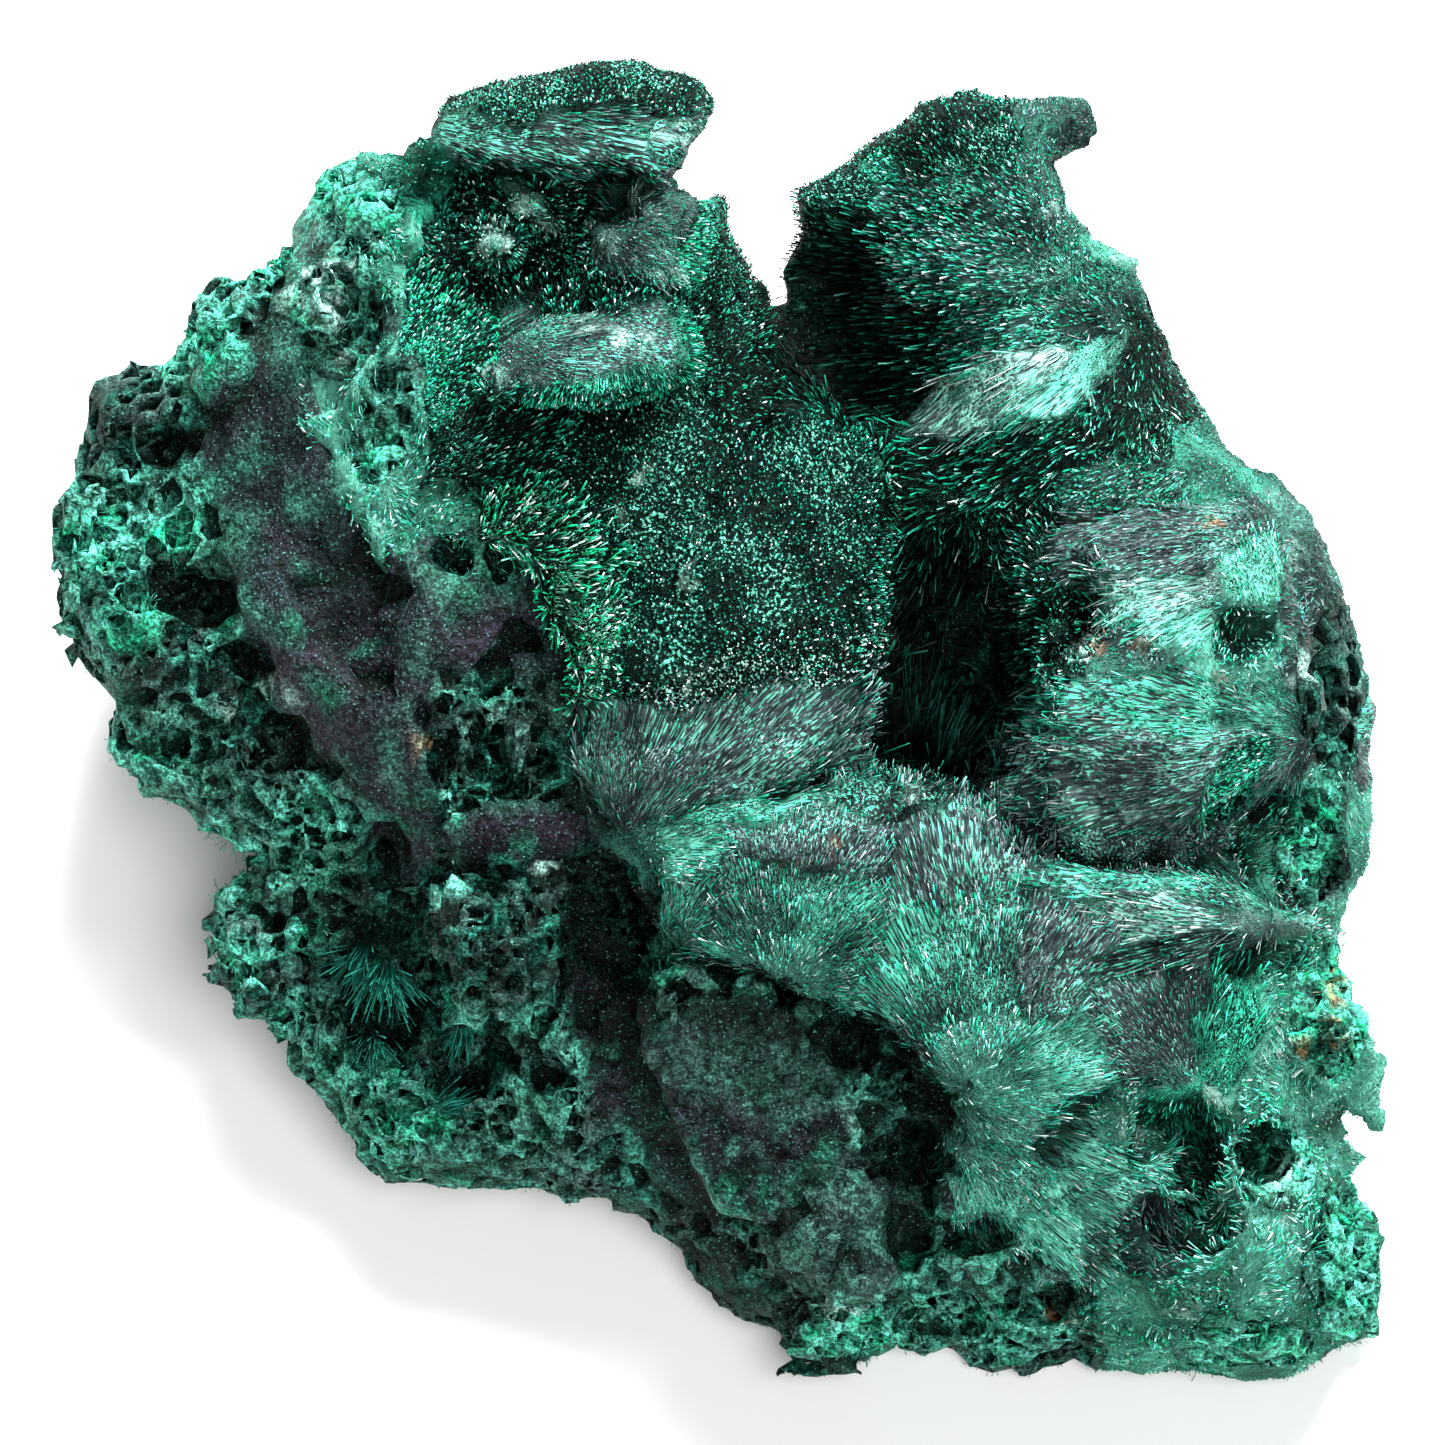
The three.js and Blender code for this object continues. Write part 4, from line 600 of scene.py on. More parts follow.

# Loose tufts of long needles in the hollows: root (u, v, w), aim (u, v, w), length, spread, count and how
# light they are. Those deep in the middle cavity are darkened as painted shade.
TUFTS = [
    ((-22.4, -15.6, 3), (-24, -21, 6), 4.6, 0.5, 70, 0.8),
    ((-22.4, -16.4, 3), (-20.2, -20.6, 7), 4.2, 0.5, 70, 0.8),
    ((-23.6, -14.6, 2), (-26, -19.4, 6), 4.4, 0.5, 60, 0.8),
    ((-17.2, -19.4, 3), (-17.8, -24, 6), 3.8, 0.4, 60, 0.8),
    ((-19.4, -26, 3), (-13.4, -24.2, 7), 3.4, 0.5, 50, 0.8),
    ((-23.2, -20.6, 1), (-23, -24.6, 5), 3.6, 0.7, 60, 0.8),
    # Deep in the cavity, darkened as painted shade.
    ((14, -4, -2), (19, 6, 6), 7, 0.35, 70, 0.12),
    ((12.6, -2, -3), (15, 8, 6), 7, 0.4, 60, 0.12),
    ((18.4, -4, 2), (20, 3, 10), 5, 0.4, 50, 0.12),
    ((38, -5, 3), (39.4, -2, 8), 2.6, 0.7, 60, 0.8),
    ((33.4, -19.6, 6), (35.6, -15.4, 11), 3.4, 0.35, 60, 0.8),
    ((-18.8, 33.4, 4), (-17, 36, 9), 2.2, 0.6, 40, 0.8),
    ((-24, 26.4, 6), (-21, 24, 12), 2.4, 0.7, 60, 0.8),
]


def to_part(points):
    """Points (u, v, w) of the face's frame in millimetres as points of the part in metres."""
    points = np.asarray(points, float)
    nearer = 1 - points[..., 2] / SEEN_FROM
    u, v, w = points[..., 0] * nearer, points[..., 1] * nearer, points[..., 2] + BASE_DEPTH
    sin, cos = math.sin(FACE_LEAN), math.cos(FACE_LEAN)
    return np.stack([u, v * sin - w * cos, v * cos + w * sin], -1) / 1000


def to_face(places):
    """The points (u, v, w) of the face's frame, in millimetres, of places in the part."""
    x, y, z = 1000 * np.moveaxis(np.asarray(places, float), -1, 0)
    sin, cos = math.sin(FACE_LEAN), math.cos(FACE_LEAN)
    w = z * sin - y * cos - BASE_DEPTH
    nearer = 1 - w / SEEN_FROM
    return np.stack([x / nearer, (y * sin + z * cos) / nearer, w], -1)


def smooth(t):
    """The curve from 0 to 1 that starts and ends level."""
    t = np.clip(t, 0, 1)
    return t * t * (3 - 2 * t)


# Large odd numbers that turn a point of a lattice into a number with no pattern.
WORD = np.uint64(0xFFFFFFFF)
LATTICE_STEPS = (374761393, 668265263, 2147483647)
SEED_STEP = 144665
LATTICE_MIX = np.uint64(1274126177)


def lattice(i, j, k, seed=SEED):
    """A repeatable number from 0 to 1 for each point of an integer lattice, as in the CAD source."""
    total = sum(n.astype(np.int64) * step for n, step in zip((i, j, k), LATTICE_STEPS))
    h = (total + seed * SEED_STEP).astype(np.uint64) & WORD
    h ^= h >> np.uint64(13)
    h = (h * LATTICE_MIX) & WORD
    h ^= h >> np.uint64(16)
    return h.astype(np.float64) / float(WORD)


def noise_on(axes, size, seed=SEED):
    """Smooth noise from -1 to 1 on a block of points, with lumps about size across."""
    cells = [np.arange(math.floor(a[0] / size), math.floor(a[-1] / size) + 2) for a in axes]
    block = (2 * lattice(*np.meshgrid(*cells, indexing="ij"), seed) - 1).astype(np.float32)
    for axis, (places, cell) in enumerate(zip(axes, cells)):
        x = places / size - cell[0]
        low = np.minimum(x.astype(int), len(cell) - 2)
        t = smooth(x - low).astype(np.float32)[:, None, None]
        block = np.moveaxis(block, axis, 0)
        block = np.moveaxis(block[low] * (1 - t) + block[low + 1] * t, 0, axis)
    return block


def noise_at(points, size, seed=SEED):
    """The same noise at loose points, as an array of rows (u, v, w)."""
    scaled = np.asarray(points, float) / size
    low = np.floor(scaled).astype(int)
    t = smooth(scaled - low)
    total = np.zeros(len(scaled))
    for step in itertools.product((0, 1), repeat=3):
        weight = np.prod(np.where(step, t, 1 - t), axis=1)
        total += weight * lattice(*(low + step).T, seed)
    return 2 * total - 1


def relief_through(points, u, v):
    """Heights at u, v of the surface through scattered heights (u, v, w), straight between them."""
    known = np.array(points, float)
    gaps = np.hypot(known[:, None, 0] - known[None, :, 0], known[:, None, 1] - known[None, :, 1])
    matrix = np.pad(gaps, (0, 1), constant_values=1.0)
    matrix[-1, -1] = 0
    weights = np.linalg.solve(matrix, np.append(known[:, 2], 0))
    height = np.full(np.broadcast(u, v).shape, weights[-1], np.float32)
    for (a, b, _), weight in zip(known, weights):
        height += np.float32(weight) * np.hypot(u - a, v - b)
    return height


def away_from(start, end, u, v):
    """Distance from each point u, v to the straight line between two points."""
    (ax, ay), (bx, by) = start, end
    dx, dy = bx - ax, by - ay
    t = np.clip(((u - ax) * dx + (v - ay) * dy) / (dx * dx + dy * dy), 0, 1)
    return np.hypot(u - ax - t * dx, v - ay - t * dy)


def inside_by(outline, u, v):
    """Distance from each point u, v to an outline, positive inside it."""
    nearest = np.full(np.broadcast(u, v).shape, np.inf, np.float32)
    inside = np.zeros(nearest.shape, bool)
    for start, end in zip(outline, outline[1:] + outline[:1]):
        nearest = np.minimum(nearest, away_from(start, end, u, v))
        (ax, ay), (bx, by) = start, end
        if ay != by:
            inside ^= ((ay > v) != (by > v)) & (u < ax + (v - ay) / (by - ay) * (bx - ax))
    return np.where(inside, nearest, -nearest)


def rounded_min(a, b, radius):
    """The smaller of two distances, with the edge between them rounded by about radius."""
    h = np.clip(1 - np.abs(a - b) / radius, 0, None)
    return np.minimum(a, b) - h * h * (radius / 4)


class Block:
    """A block of sample points in the face's frame. values is positive inside the specimen."""

    def __init__(self, step):
        low = (-REACH["u"], -REACH["v"], -REACH["back"])
        high = (REACH["u"], REACH["v"], REACH["front"])
        self.step = step
        self.low = np.array(low)
        self.axes = [np.arange(a, b, step) for a, b in zip(low, high)]
        self.u, self.v = (x.astype(np.float32) for x in np.meshgrid(*self.axes[:2], indexing="ij"))
        self.w = self.axes[2].astype(np.float32)
        self.values = None

    def around(self, centre, radii):
        """The slices of the block round an ellipsoid, and the distance inside it there."""
        slices, offsets = [], []
        for places, middle, radius in zip(self.axes, centre, radii):
            spare = LUMP_MARGIN[0] * radius + LUMP_MARGIN[1]
            first, last = np.searchsorted(places, [middle - spare, middle + spare])
            slices.append(slice(first, last))
            offsets.append(((places[first:last] - middle) / radius).astype(np.float32))
        x, y, z = np.meshgrid(*offsets, indexing="ij", sparse=True)
        away = np.sqrt(x * x + y * y + z * z)
        for amount, size in UNEVENNESS:
            places = [axis[part] for axis, part in zip(self.axes, slices)]
            away = away * (1 + amount * noise_on(places, size, SEED + 30))
        return tuple(slices), (1 - away) * min(radii)

    def add(self, centre, radii):
        """Joins an ellipsoid to the mass."""
        where, inside = self.around(centre, radii)
        self.values[where] = np.maximum(self.values[where], inside)

    def take(self, centre, radii):
        """Takes an ellipsoid out of the mass."""
        where, inside = self.around(centre, radii)
        self.values[where] = np.minimum(self.values[where], -inside)

    def at(self, field, points):
        """A field of this block at loose points, by straight interpolation."""
        scaled = (points - self.low) / self.step
        top = np.array(field.shape) - 2
        low = np.clip(np.floor(scaled).astype(int), 0, top)
        t = np.clip(scaled - low, 0, 1)
        total = np.zeros(len(points))
        for step in itertools.product((0, 1), repeat=3):
            weight = np.prod(np.where(step, t, 1 - t), axis=1)
            total += weight * field[tuple((low + step).T)]
        return total


def lay_down_masses(block):
    """Fills the block with the specimen's forms: the CAD solid's, and a few small ones of its own."""
    u, v, w = block.u, block.v, block.w
    rim = inside_by(RIM, u, v)
    rim_points = [(a, b, RIM_HEIGHT) for a, b in RIM[::3]]
    front = relief_through(GROUND_RELIEF + rim_points, u, v)
    back = relief_through(BACK_RELIEF, u, v)
    side = rim[..., None] + RIM_SPARE - SIDE_TAPER * np.clip(-w - TAPER_FROM, 0, None)
    values = rounded_min(side, FACE_SLOPE * (front[..., None] - w), RIM_ROUND)
    values = rounded_min(values, FACE_SLOPE * (w - back[..., None]), RIM_ROUND)
    for mass in MASSES.values():
        corners = np.array(mass["outline"])
        where = tuple(
            slice(*np.searchsorted(places, [ends.min() - MARGIN, ends.max() + MARGIN]))
            for places, ends in zip(block.axes, corners.T)
        )
        inside = inside_by(mass["outline"], u[where], v[where])[..., None]
        height = relief_through(mass["front"], u[where], v[where])[..., None]
        body = rounded_min(inside, FACE_SLOPE * (height - w), mass["round"])
        body = np.minimum(np.minimum(body, w - mass["back"]), side[where])
        values[where] = np.maximum(values[where], body)
    block.values = values
    for centre, radii in LUMPS:
        block.add(centre, radii)
    for centre, radii in HOLLOWS:
        block.take(centre, radii)
    for height, size in ROUGHNESS:
        block.values += height * noise_on(block.axes, size)


def nearest_cell_wall(points, size, seed):
    """For each point, the distance to the wall between the two nearest of a jumble of cells, and a
    number from 0 to 1 that is the same all over a cell. size is about the width of a cell."""
    base = np.floor(points / size).astype(int)
    first = np.full(len(points), np.inf, np.float32)
    second = first.copy()
    tag = np.zeros(len(points), np.float32)
    for step in itertools.product((-1, 0, 1), repeat=3):
        cell = (base + step).T
        jitter = np.stack([lattice(*cell, seed + n) for n in range(3)], -1)
        away = np.linalg.norm(points - (base + step + jitter) * size, axis=1).astype(np.float32)
        closer = away < first
        second = np.where(closer, first, np.minimum(second, away))
        tag = np.where(closer, lattice(*cell, seed + 3).astype(np.float32), tag)
        first = np.where(closer, away, first)
    return (second - first) / 2, tag


def surface_of(values, low, step):
    """The zero surface of a block of values: vertices, one in each cell that it crosses, and quads."""
    inside = values > 0
    corners = sum(
        inside[tuple(slice(c, c - 1 or None) for c in corner)].astype(np.uint8)
        for corner in itertools.product((0, 1), repeat=3)
    )
    crossed = (corners > 0) & (corners < 8)
    number = np.full(crossed.shape, -1, np.int32)
    number[crossed] = np.arange(crossed.sum())
    cells = np.argwhere(crossed)
    total = np.zeros(cells.shape)
    count = np.zeros(len(cells))
    for axis in range(3):
        for others in itertools.product((0, 1), repeat=2):
            start = np.insert(np.array(others), axis, 0)
            end = np.insert(np.array(others), axis, 1)
            a = values[tuple((cells + start).T)]
            b = values[tuple((cells + end).T)]
            cuts = (a > 0) != (b > 0)
            t = np.where(cuts, a / np.where(cuts, a - b, 1), 0)
            total += np.where(cuts[:, None], start + t[:, None] * (end - start), 0)
            count += cuts
    vertices = (cells + total / count[:, None]) * step + low
    quads = []
    for axis in range(3):
        s, t = np.eye(3, dtype=int)[[(axis + 1) % 3, (axis + 2) % 3]]
        here = inside[tuple(slice(None, -1) if n == axis else slice(None) for n in range(3))]
        there = inside[tuple(slice(1, None) if n == axis else slice(None) for n in range(3))]
        places = np.argwhere(here != there)
        outward = here[tuple(places.T)]
        ring = [number[tuple((places - back).T)] for back in (0 * s, s, s + t, t)]
        ring = np.stack(ring, -1)
        quads.append(np.where(outward[:, None], ring, ring[:, ::-1]))
    return vertices, np.concatenate(quads)


def on_face(w):
    """1 on the show face and 0 on the sides and the back."""
    return smooth((w - FACE_ENDS[0]) / FACE_ENDS[1])


def in_ellipse(u, v, centre, radii, turn=0):
    """How far out each point u, v is from the centre of an ellipse: 0 there and 1 at its edge."""
    a = math.radians(turn)
    x = (u - centre[0]) * math.cos(a) + (v - centre[1]) * math.sin(a)
    y = (v - centre[1]) * math.cos(a) - (u - centre[0]) * math.sin(a)
    return np.hypot(x / radii[0], y / radii[1])


def patch_cover(patches, u, v):
    """How far each point u, v is into a list of patches: 1 well inside one, 0 outside all."""
    cover = np.zeros(np.broadcast(u, v).shape, np.float32)
    for patch in patches:
        cover = np.maximum(cover, smooth((PATCH_EDGE[0] - in_ellipse(u, v, *patch)) / PATCH_EDGE[1]))
    return cover


def open_cells(block, size, wall, depth, cover, seed):
    """Eats the mass away into cells that are open at its surface. cover says how fully, from 0 to 1, at
    each column of the block, and the mass is eaten all round its sides."""
    near = (block.values > -CELL_REACH[0]) & (block.values < CELL_REACH[1] * depth)
    near &= (cover[..., None] > LEAST_COVER) | (block.w < SIDE_CELLS_BELOW)
    places = np.argwhere(near)
    points = places * block.step + block.low
    height, length = CELL_BENDS
    bend = swirls(points, length * size, seed + 11)
    gap, tag = nearest_cell_wall(points + height * size * bend, size, seed)
    patchy = noise_at(points, CELL_PATCH, seed + 15)
    here = cover[places[:, 0], places[:, 1]] * smooth(CELLS_OPEN[0] + CELLS_OPEN[1] * patchy)
    sides = smooth((SIDE_CELLS_BELOW - points[:, 2]) / SIDE_CELLS_OVER)
    sides = sides * smooth(SIDE_CELLS + SIDE_CELLS_VARY * patchy)
    eaten = np.maximum(here, sides)
    amount, length = WALLS_VARY
    thickness = wall * (1 + amount * noise_at(points, length * size, seed + 14))
    thickness = thickness + CLOSED_WALL * size * (1 - eaten)
    solid = block.values[near]
    floor = solid - depth * (SHALLOWEST + tag)
    block.values[near] = np.minimum(solid, np.maximum(thickness / 2 - gap, floor))


def raise_grapes(block, size, height, cover, seed):
    """Rounds the surface into small lumps like a bunch of grapes, where cover says so."""
    near = (np.abs(block.values) < GRAPE_REACH) & (cover[..., None] > LEAST_COVER)
    places = np.argwhere(near)
    gap, _ = nearest_cell_wall(places * block.step + block.low, size, seed)
    lump = np.sqrt(np.clip(2 * gap / size, 0, 1)) - GRAPE_LEVEL
    block.values[near] += height * cover[places[:, 0], places[:, 1]] * lump


def blurred(field, reach):
    """A field averaged over the cube that reaches this many grid steps each way."""
    for axis in range(3):
        margin = [(reach + 1, reach) if n == axis else (0, 0) for n in range(3)]
        sums = np.moveaxis(np.cumsum(np.pad(field, margin, mode="edge"), axis=axis), axis, 0)
        field = np.moveaxis(sums[2 * reach + 1 :] - sums[: -2 * reach - 1], 0, axis) / (2 * reach + 1)
    return field


def base_height(block):
    """The height of each point of the block over the base, in millimetres."""
    nearer = 1 - block.w / SEEN_FROM
    up = (block.w + BASE_DEPTH) * math.sin(FACE_LEAN)
    return block.v[..., None] * nearer * math.cos(FACE_LEAN) + up


@functools.cache
def grown_block(step):
    """The whole specimen on a grid of this step: its masses, its cells and its fine roughness."""
    block = Block(step)
    lay_down_masses(block)
    for height, size in FINE_ROUGHNESS:
        block.values += height * noise_on(block.axes, size, SEED + 5)
    veins = line_cover(VEINS, VEIN_FOOT * VEIN_WIDTH, block.u, block.v)[..., None]
    block.values += VEIN_HEIGHT * veins * on_face(block.w)
    cover = smooth(inside_by(CRUST_OUTLINE, block.u, block.v) / EDGE_FADE)
    cover *= 1 - patch_cover(SMOOTH_PATCHES, block.u, block.v)
    cover = np.maximum(cover, patch_cover(CELL_PATCHES, block.u, block.v))
    height, size = RAGGED
    block.values += height * cover[..., None] * noise_on(block.axes, size, SEED + 6)
    grapes = patch_cover(GRAPE_PATCHES, block.u, block.v)
    for grape in GRAPES:
        raise_grapes(block, cover=grapes, **grape)
    for cell in CRUST_CELLS:
        open_cells(block, cover=cover, **cell)
    block.values = np.minimum(block.values, base_height(block))
    for axis in range(3):
        edge = np.moveaxis(block.values, axis, 0)
        edge[0] = edge[-1] = -1
    inside = (block.values > 0).astype(np.float32)
    block.near_fill = blurred(inside, round(NEAR_FILL / step))
    block.wide_fill = blurred(inside, round(WIDE_FILL / step))
    return block


@functools.cache
def crust_side(step):
    """How far each point of the block is into the crust, negative in the fibrous masses."""
    block = grown_block(step)
    flat = (block.axes[0], block.axes[1], np.array([0.0]))
    height, sizes = EDGE_WAVES
    u, v = (
        places + height * noise_on(flat, size, SEED + seed)[..., 0]
        for places, size, seed in zip((block.u, block.v), sizes, (7, 8))
    )
    across = np.maximum(inside_by(CRUST_OUTLINE, u, v), 2 * patch_cover(CELL_PATCHES, u, v) - 1)
    return np.maximum(across[..., None], CRUST_FROM + seam_waves(block) - block.w)


def seam_waves(block):
    """How far up or down the bodies of the specimen meet at each point of the block."""
    height, size = SEAM_WAVES
    return height * noise_on(block.axes, size, SEED + 9)


def grown_body(name, step, values):
    """The surface of a block of values as an object."""
    vertices, quads = without_loose_bits(*surface_of(values, grown_block(step).low, step))
    return new_mesh(name, to_part(vertices), quads)


def thin_out(piece, budget):
    """Brings a body of quads down to about budget triangles."""
    decimate = piece.modifiers.new("fewer faces", "DECIMATE")
    decimate.ratio = min(1.0, budget / (2 * len(piece.data.polygons)))
    apply_modifiers(piece)
    put_vertices(piece, within_box(vertex_values(piece)))
    piece.data.shade_smooth()


def without_loose_bits(vertices, quads):
    """A surface without the small shells that hang in the air."""
    ends = np.concatenate([quads[:, (n, (n + 1) % 4)] for n in range(4)])
    label = np.arange(len(vertices))
    while True:
        lowest = label.copy()
        np.minimum.at(lowest, ends[:, 0], label[ends[:, 1]])
        np.minimum.at(lowest, ends[:, 1], label[ends[:, 0]])
        lowest = lowest[lowest]
        lowest = lowest[lowest]
        if np.array_equal(lowest, label):
            break
        label = lowest
    kept = np.bincount(label, minlength=len(vertices))[label] >= SMALLEST_SHELL
    number = np.cumsum(kept) - 1
    return vertices[kept], number[quads[kept[quads[:, 0]]]]


def vertex_values(piece, name="co"):
    """The places or normals of a piece's vertices, as rows."""
    values = np.empty(3 * len(piece.data.vertices), np.float32)
    piece.data.vertices.foreach_get(name, values)
    return values.reshape(-1, 3).astype(float)


def put_vertices(piece, places):
    """Moves a piece's vertices to these places."""
    piece.data.vertices.foreach_set("co", np.asarray(places, np.float32).ravel())


def new_mesh(name, vertices, faces):
    """An object with these vertices and these faces, which all have the same number of corners."""
    mesh = bpy.data.meshes.new(name)
    faces = np.asarray(faces)
    mesh.vertices.add(len(vertices))
    mesh.vertices.foreach_set("co", np.asarray(vertices, np.float32).ravel())
    mesh.loops.add(faces.size)
    mesh.loops.foreach_set("vertex_index", faces.ravel().astype(np.int32))
    mesh.polygons.add(len(faces))
    mesh.polygons.foreach_set("loop_start", np.arange(0, faces.size, faces.shape[1], dtype=np.int32))
    mesh.update(calc_edges=True)
    piece = bpy.data.objects.new(name, mesh)
    bpy.context.scene.collection.objects.link(piece)
    return piece


def apply_modifiers(piece):
    """Puts the result of a piece's modifiers in its mesh."""
    seen = piece.evaluated_get(bpy.context.evaluated_depsgraph_get())
    mesh = bpy.data.meshes.new_from_object(seen)
    old = piece.data
    piece.modifiers.clear()
    piece.data = mesh
    mesh.name = old.name
    bpy.data.meshes.remove(old)


def paint(piece, name, values, kind):
    """Keeps a value for each vertex of a piece as a named attribute."""
    layer = piece.data.attributes.new(name, kind, "POINT")
    field = {"FLOAT_COLOR": "color", "FLOAT_VECTOR": "vector", "FLOAT": "value"}[kind]
    layer.data.foreach_set(field, np.asarray(values, np.float32).ravel())


def paint_tint(piece, tint):
    """Keeps the colour of each vertex of a piece as its attribute tint."""
    paint(piece, "tint", np.pad(tint, ((0, 0), (0, 1)), constant_values=1), "FLOAT_COLOR")


def blend(a, b, amount):
    """Colour a turned towards colour b, by an amount from 0 to 1 for each row."""
    return a + (b - a) * np.clip(amount, 0, 1)[:, None]


def unit(vectors):
    """The vectors with a length of 1."""
    return vectors / np.maximum(np.linalg.norm(vectors, axis=-1, keepdims=True), 1e-9)


def line_cover(lines, width, u, v):
    """How near each point u, v is to a list of lines: 1 on one, 0 from its width on."""
    nearest = np.full(np.broadcast(u, v).shape, np.inf)
    for line in lines:
        for start, end in zip(line, line[1:]):
            nearest = np.minimum(nearest, away_from(start, end, u, v))
    return smooth(1 - nearest / width)


def wavering(points, axis):
    """A coordinate of loose points with the waves that the edges between sprays have."""
    value = points[:, axis]
    for n, (height, size) in enumerate(SPRAY_WAVES):
        value = value + height * noise_at(points, size, SEED + 51 + 2 * axis + n)
    return value


def spray_of(points):
    """The number in SPRAYS of the spray that each point of the face belongs to."""
    u, v = wavering(points, 0), wavering(points, 1)
    nearest = np.full(len(points), np.inf)
    number = np.zeros(len(points), int)
    for n, (centre, radii, turn, *_) in enumerate(SPRAYS):
        away = in_ellipse(u, v, centre, radii, turn)
        number = np.where(away < nearest, n, number)
        nearest = np.minimum(nearest, away)
    return number


def swirls(points, size, seed):
    """Directions that turn slowly from place to place, as vectors of uneven length."""
    return np.stack([noise_at(points, size, seed + n) for n in range(3)], -1)


def fibre_directions(points, numbers):
    """The way that the fibres run at each point of the face: away from the apex of its spray, or in
    swirls where the spray has none."""
    away = unit(swirls(points, SWIRL_SIZE, SEED + 55))
    for n, (*_, apex, _, _, _) in enumerate(SPRAYS):
        here = numbers == n
        if apex is not None and here.any():
            away[here] = unit(points[here] - np.array(apex, float))
    return away


def apexes_of(points, numbers):
    """The apex that the fibres at each point of the face come from."""
    apexes = points - SWIRL_REACH * fibre_directions(points, numbers)
    for n, spray in enumerate(SPRAYS):
        if spray[3] is not None:
            apexes[numbers == n] = spray[3]
    return apexes


def fan_relief(points, numbers):
    """The height of the bundles of fibres at each point of the face, and of the steps between sprays."""
    away = fibre_directions(points, numbers)
    bundles = sum(
        share * noise_at(away, width, SEED + 61 + n) for n, (share, width) in enumerate(BUNDLES)
    )
    step = lattice(numbers, 0 * numbers, 0 * numbers, SEED + 63) - 0.5
    return BUNDLE_HEIGHT * bundles + STEP_HEIGHT * step


def above_crust(points, spare, over):
    """1 above the depth that the fibrous masses end at. It starts spare below that, and comes in over
    this much."""
    return smooth((points[:, 2] - CRUST_FROM + spare) / over)


def mottled(points, size, seed):
    """Soft patches about size across, as a value from 0 to 1 for each point."""
    return smooth(0.5 + MOTTLE_CONTRAST * noise_at(points, size, seed))


def ridges(fill, start, over):
    """How much each point is on a ridge, from the share of stone near it."""
    return smooth((start - fill) / over)


def hollows(fill, start, over):
    """How much each point is in a hollow or a groove, from the share of stone near it."""
    return smooth((fill - start) / over)


def crest_tints(colours, broad, patchy, fine):
    """The colour of the ridges between cells: green, with grey, blue-green and mint in patches."""
    crest = blend(colours["deep"], colours["emerald"], CREST_GREEN[0] + CREST_GREEN[1] * fine)
    patches = {"slate": 1 - patchy, "teal": fine * patchy, "mint": broad * fine * patchy}
    for name, turn in CREST_TURNS.items():
        crest = blend(crest, colours[name], turn * patches[name])
    return crest


def granular_tints(colours, broad, patchy, fine, green):
    """The colour of the smooth patches: violet and dark grey, greener where green says so, with flecks."""
    turns = GRANULAR_TURNS
    granular = GRANULAR_SHADE * blend(colours["violet"], colours["charcoal"], turns["charcoal"] * patchy)
    granular = blend(granular, colours["deep"], turns["deep"] * broad * fine)
    greyed = (colours["deep"] + colours["emerald"] + colours["slate"]) / 3
    granular = blend(granular, greyed, green * (GRANULAR_GREEN[0] + GRANULAR_GREEN[1] * fine))
    flecks = hollows(fine, *FLECKS_FROM) * patchy
    return blend(granular, colours["emerald"] / 2, turns["emerald"] * flecks)


def crust_tints(points, block, colours):
    """The colour of the crust at each of its points: dark cells, pale ridges, smooth dark patches, felt,
    dust and rust, with painted shade in its hollows, grooves and shaded patches."""
    u, v, shown = points[:, 0], points[:, 1], on_face(points[:, 2])
    mottles = [mottled(points, size, SEED + 71 + n) for n, size in enumerate(CRUST_MOTTLES)]
    broad, patchy, fine = mottles
    near_fill = block.at(block.near_fill, points)
    ridge = ridges(near_fill, *RIDGE_FILL)
    groove = hollows(near_fill, *GROOVE_FILL)
    hollow = hollows(block.at(block.wide_fill, points), *HOLLOW_FILL)
    tint = blend(colours["pit"], colours["deep"], CELL_GREEN[0] + CELL_GREEN[1] * patchy)
    crest = crest_tints(colours, *mottles)
    tint = blend(tint, crest, ridge * (RIDGE_SHOWN[0] + RIDGE_SHOWN[1] * broad))

    smooth_patch = smooth(PATCH_SHARPNESS * patch_cover(SMOOTH_PATCHES, u, v)) * shown
    green = patch_cover(GREEN_PATCHES, u, v) * shown
    tint = blend(tint, granular_tints(colours, *mottles, green), smooth_patch)

    sparse = SPARSE_FELT * smooth(broad * 3 - 2) * (1 - smooth_patch)
    felt = np.maximum(patch_cover(FELT_PATCHES, u, v) * shown, sparse)
    felt = felt * (1 - FELT_THINNED * smooth_patch) * (FELT_SHOWN[0] + FELT_SHOWN[1] * ridge)
    dark_felt, light_felt = (
        (colours[a] + colours[b]) / 2 for a, b in (("emerald", "vivid"), ("teal", "mint"))
    )
    tint = blend(tint, blend(dark_felt, light_felt, fine), felt)

    aside, up = (shift * (mottle - 0.5) for shift, mottle in zip(VEIN_SHIFT, (patchy, fine)))
    vein = line_cover(VEINS, VEIN_WIDTH, u + aside, v + up) * shown
    vein = vein * (VEIN_SHOWN[0] + VEIN_SHOWN[1] * patchy) * (1 - VEIN_FAINTNESS * smooth_patch)
    tint = blend(tint, blend(colours["emerald"], colours["mint"], fine), vein)
    tint = dusted_and_shaded(tint, points, colours)
    # Painted shade: hollows and grooves are turned towards the pit colour.
    dark = np.maximum(HOLLOW_PAINTED_SHADE * hollow * (1 - RIDGE_SPARED * ridge), GROOVE_PAINTED_SHADE * groove)
    return blend(tint, colours["pit"], dark)


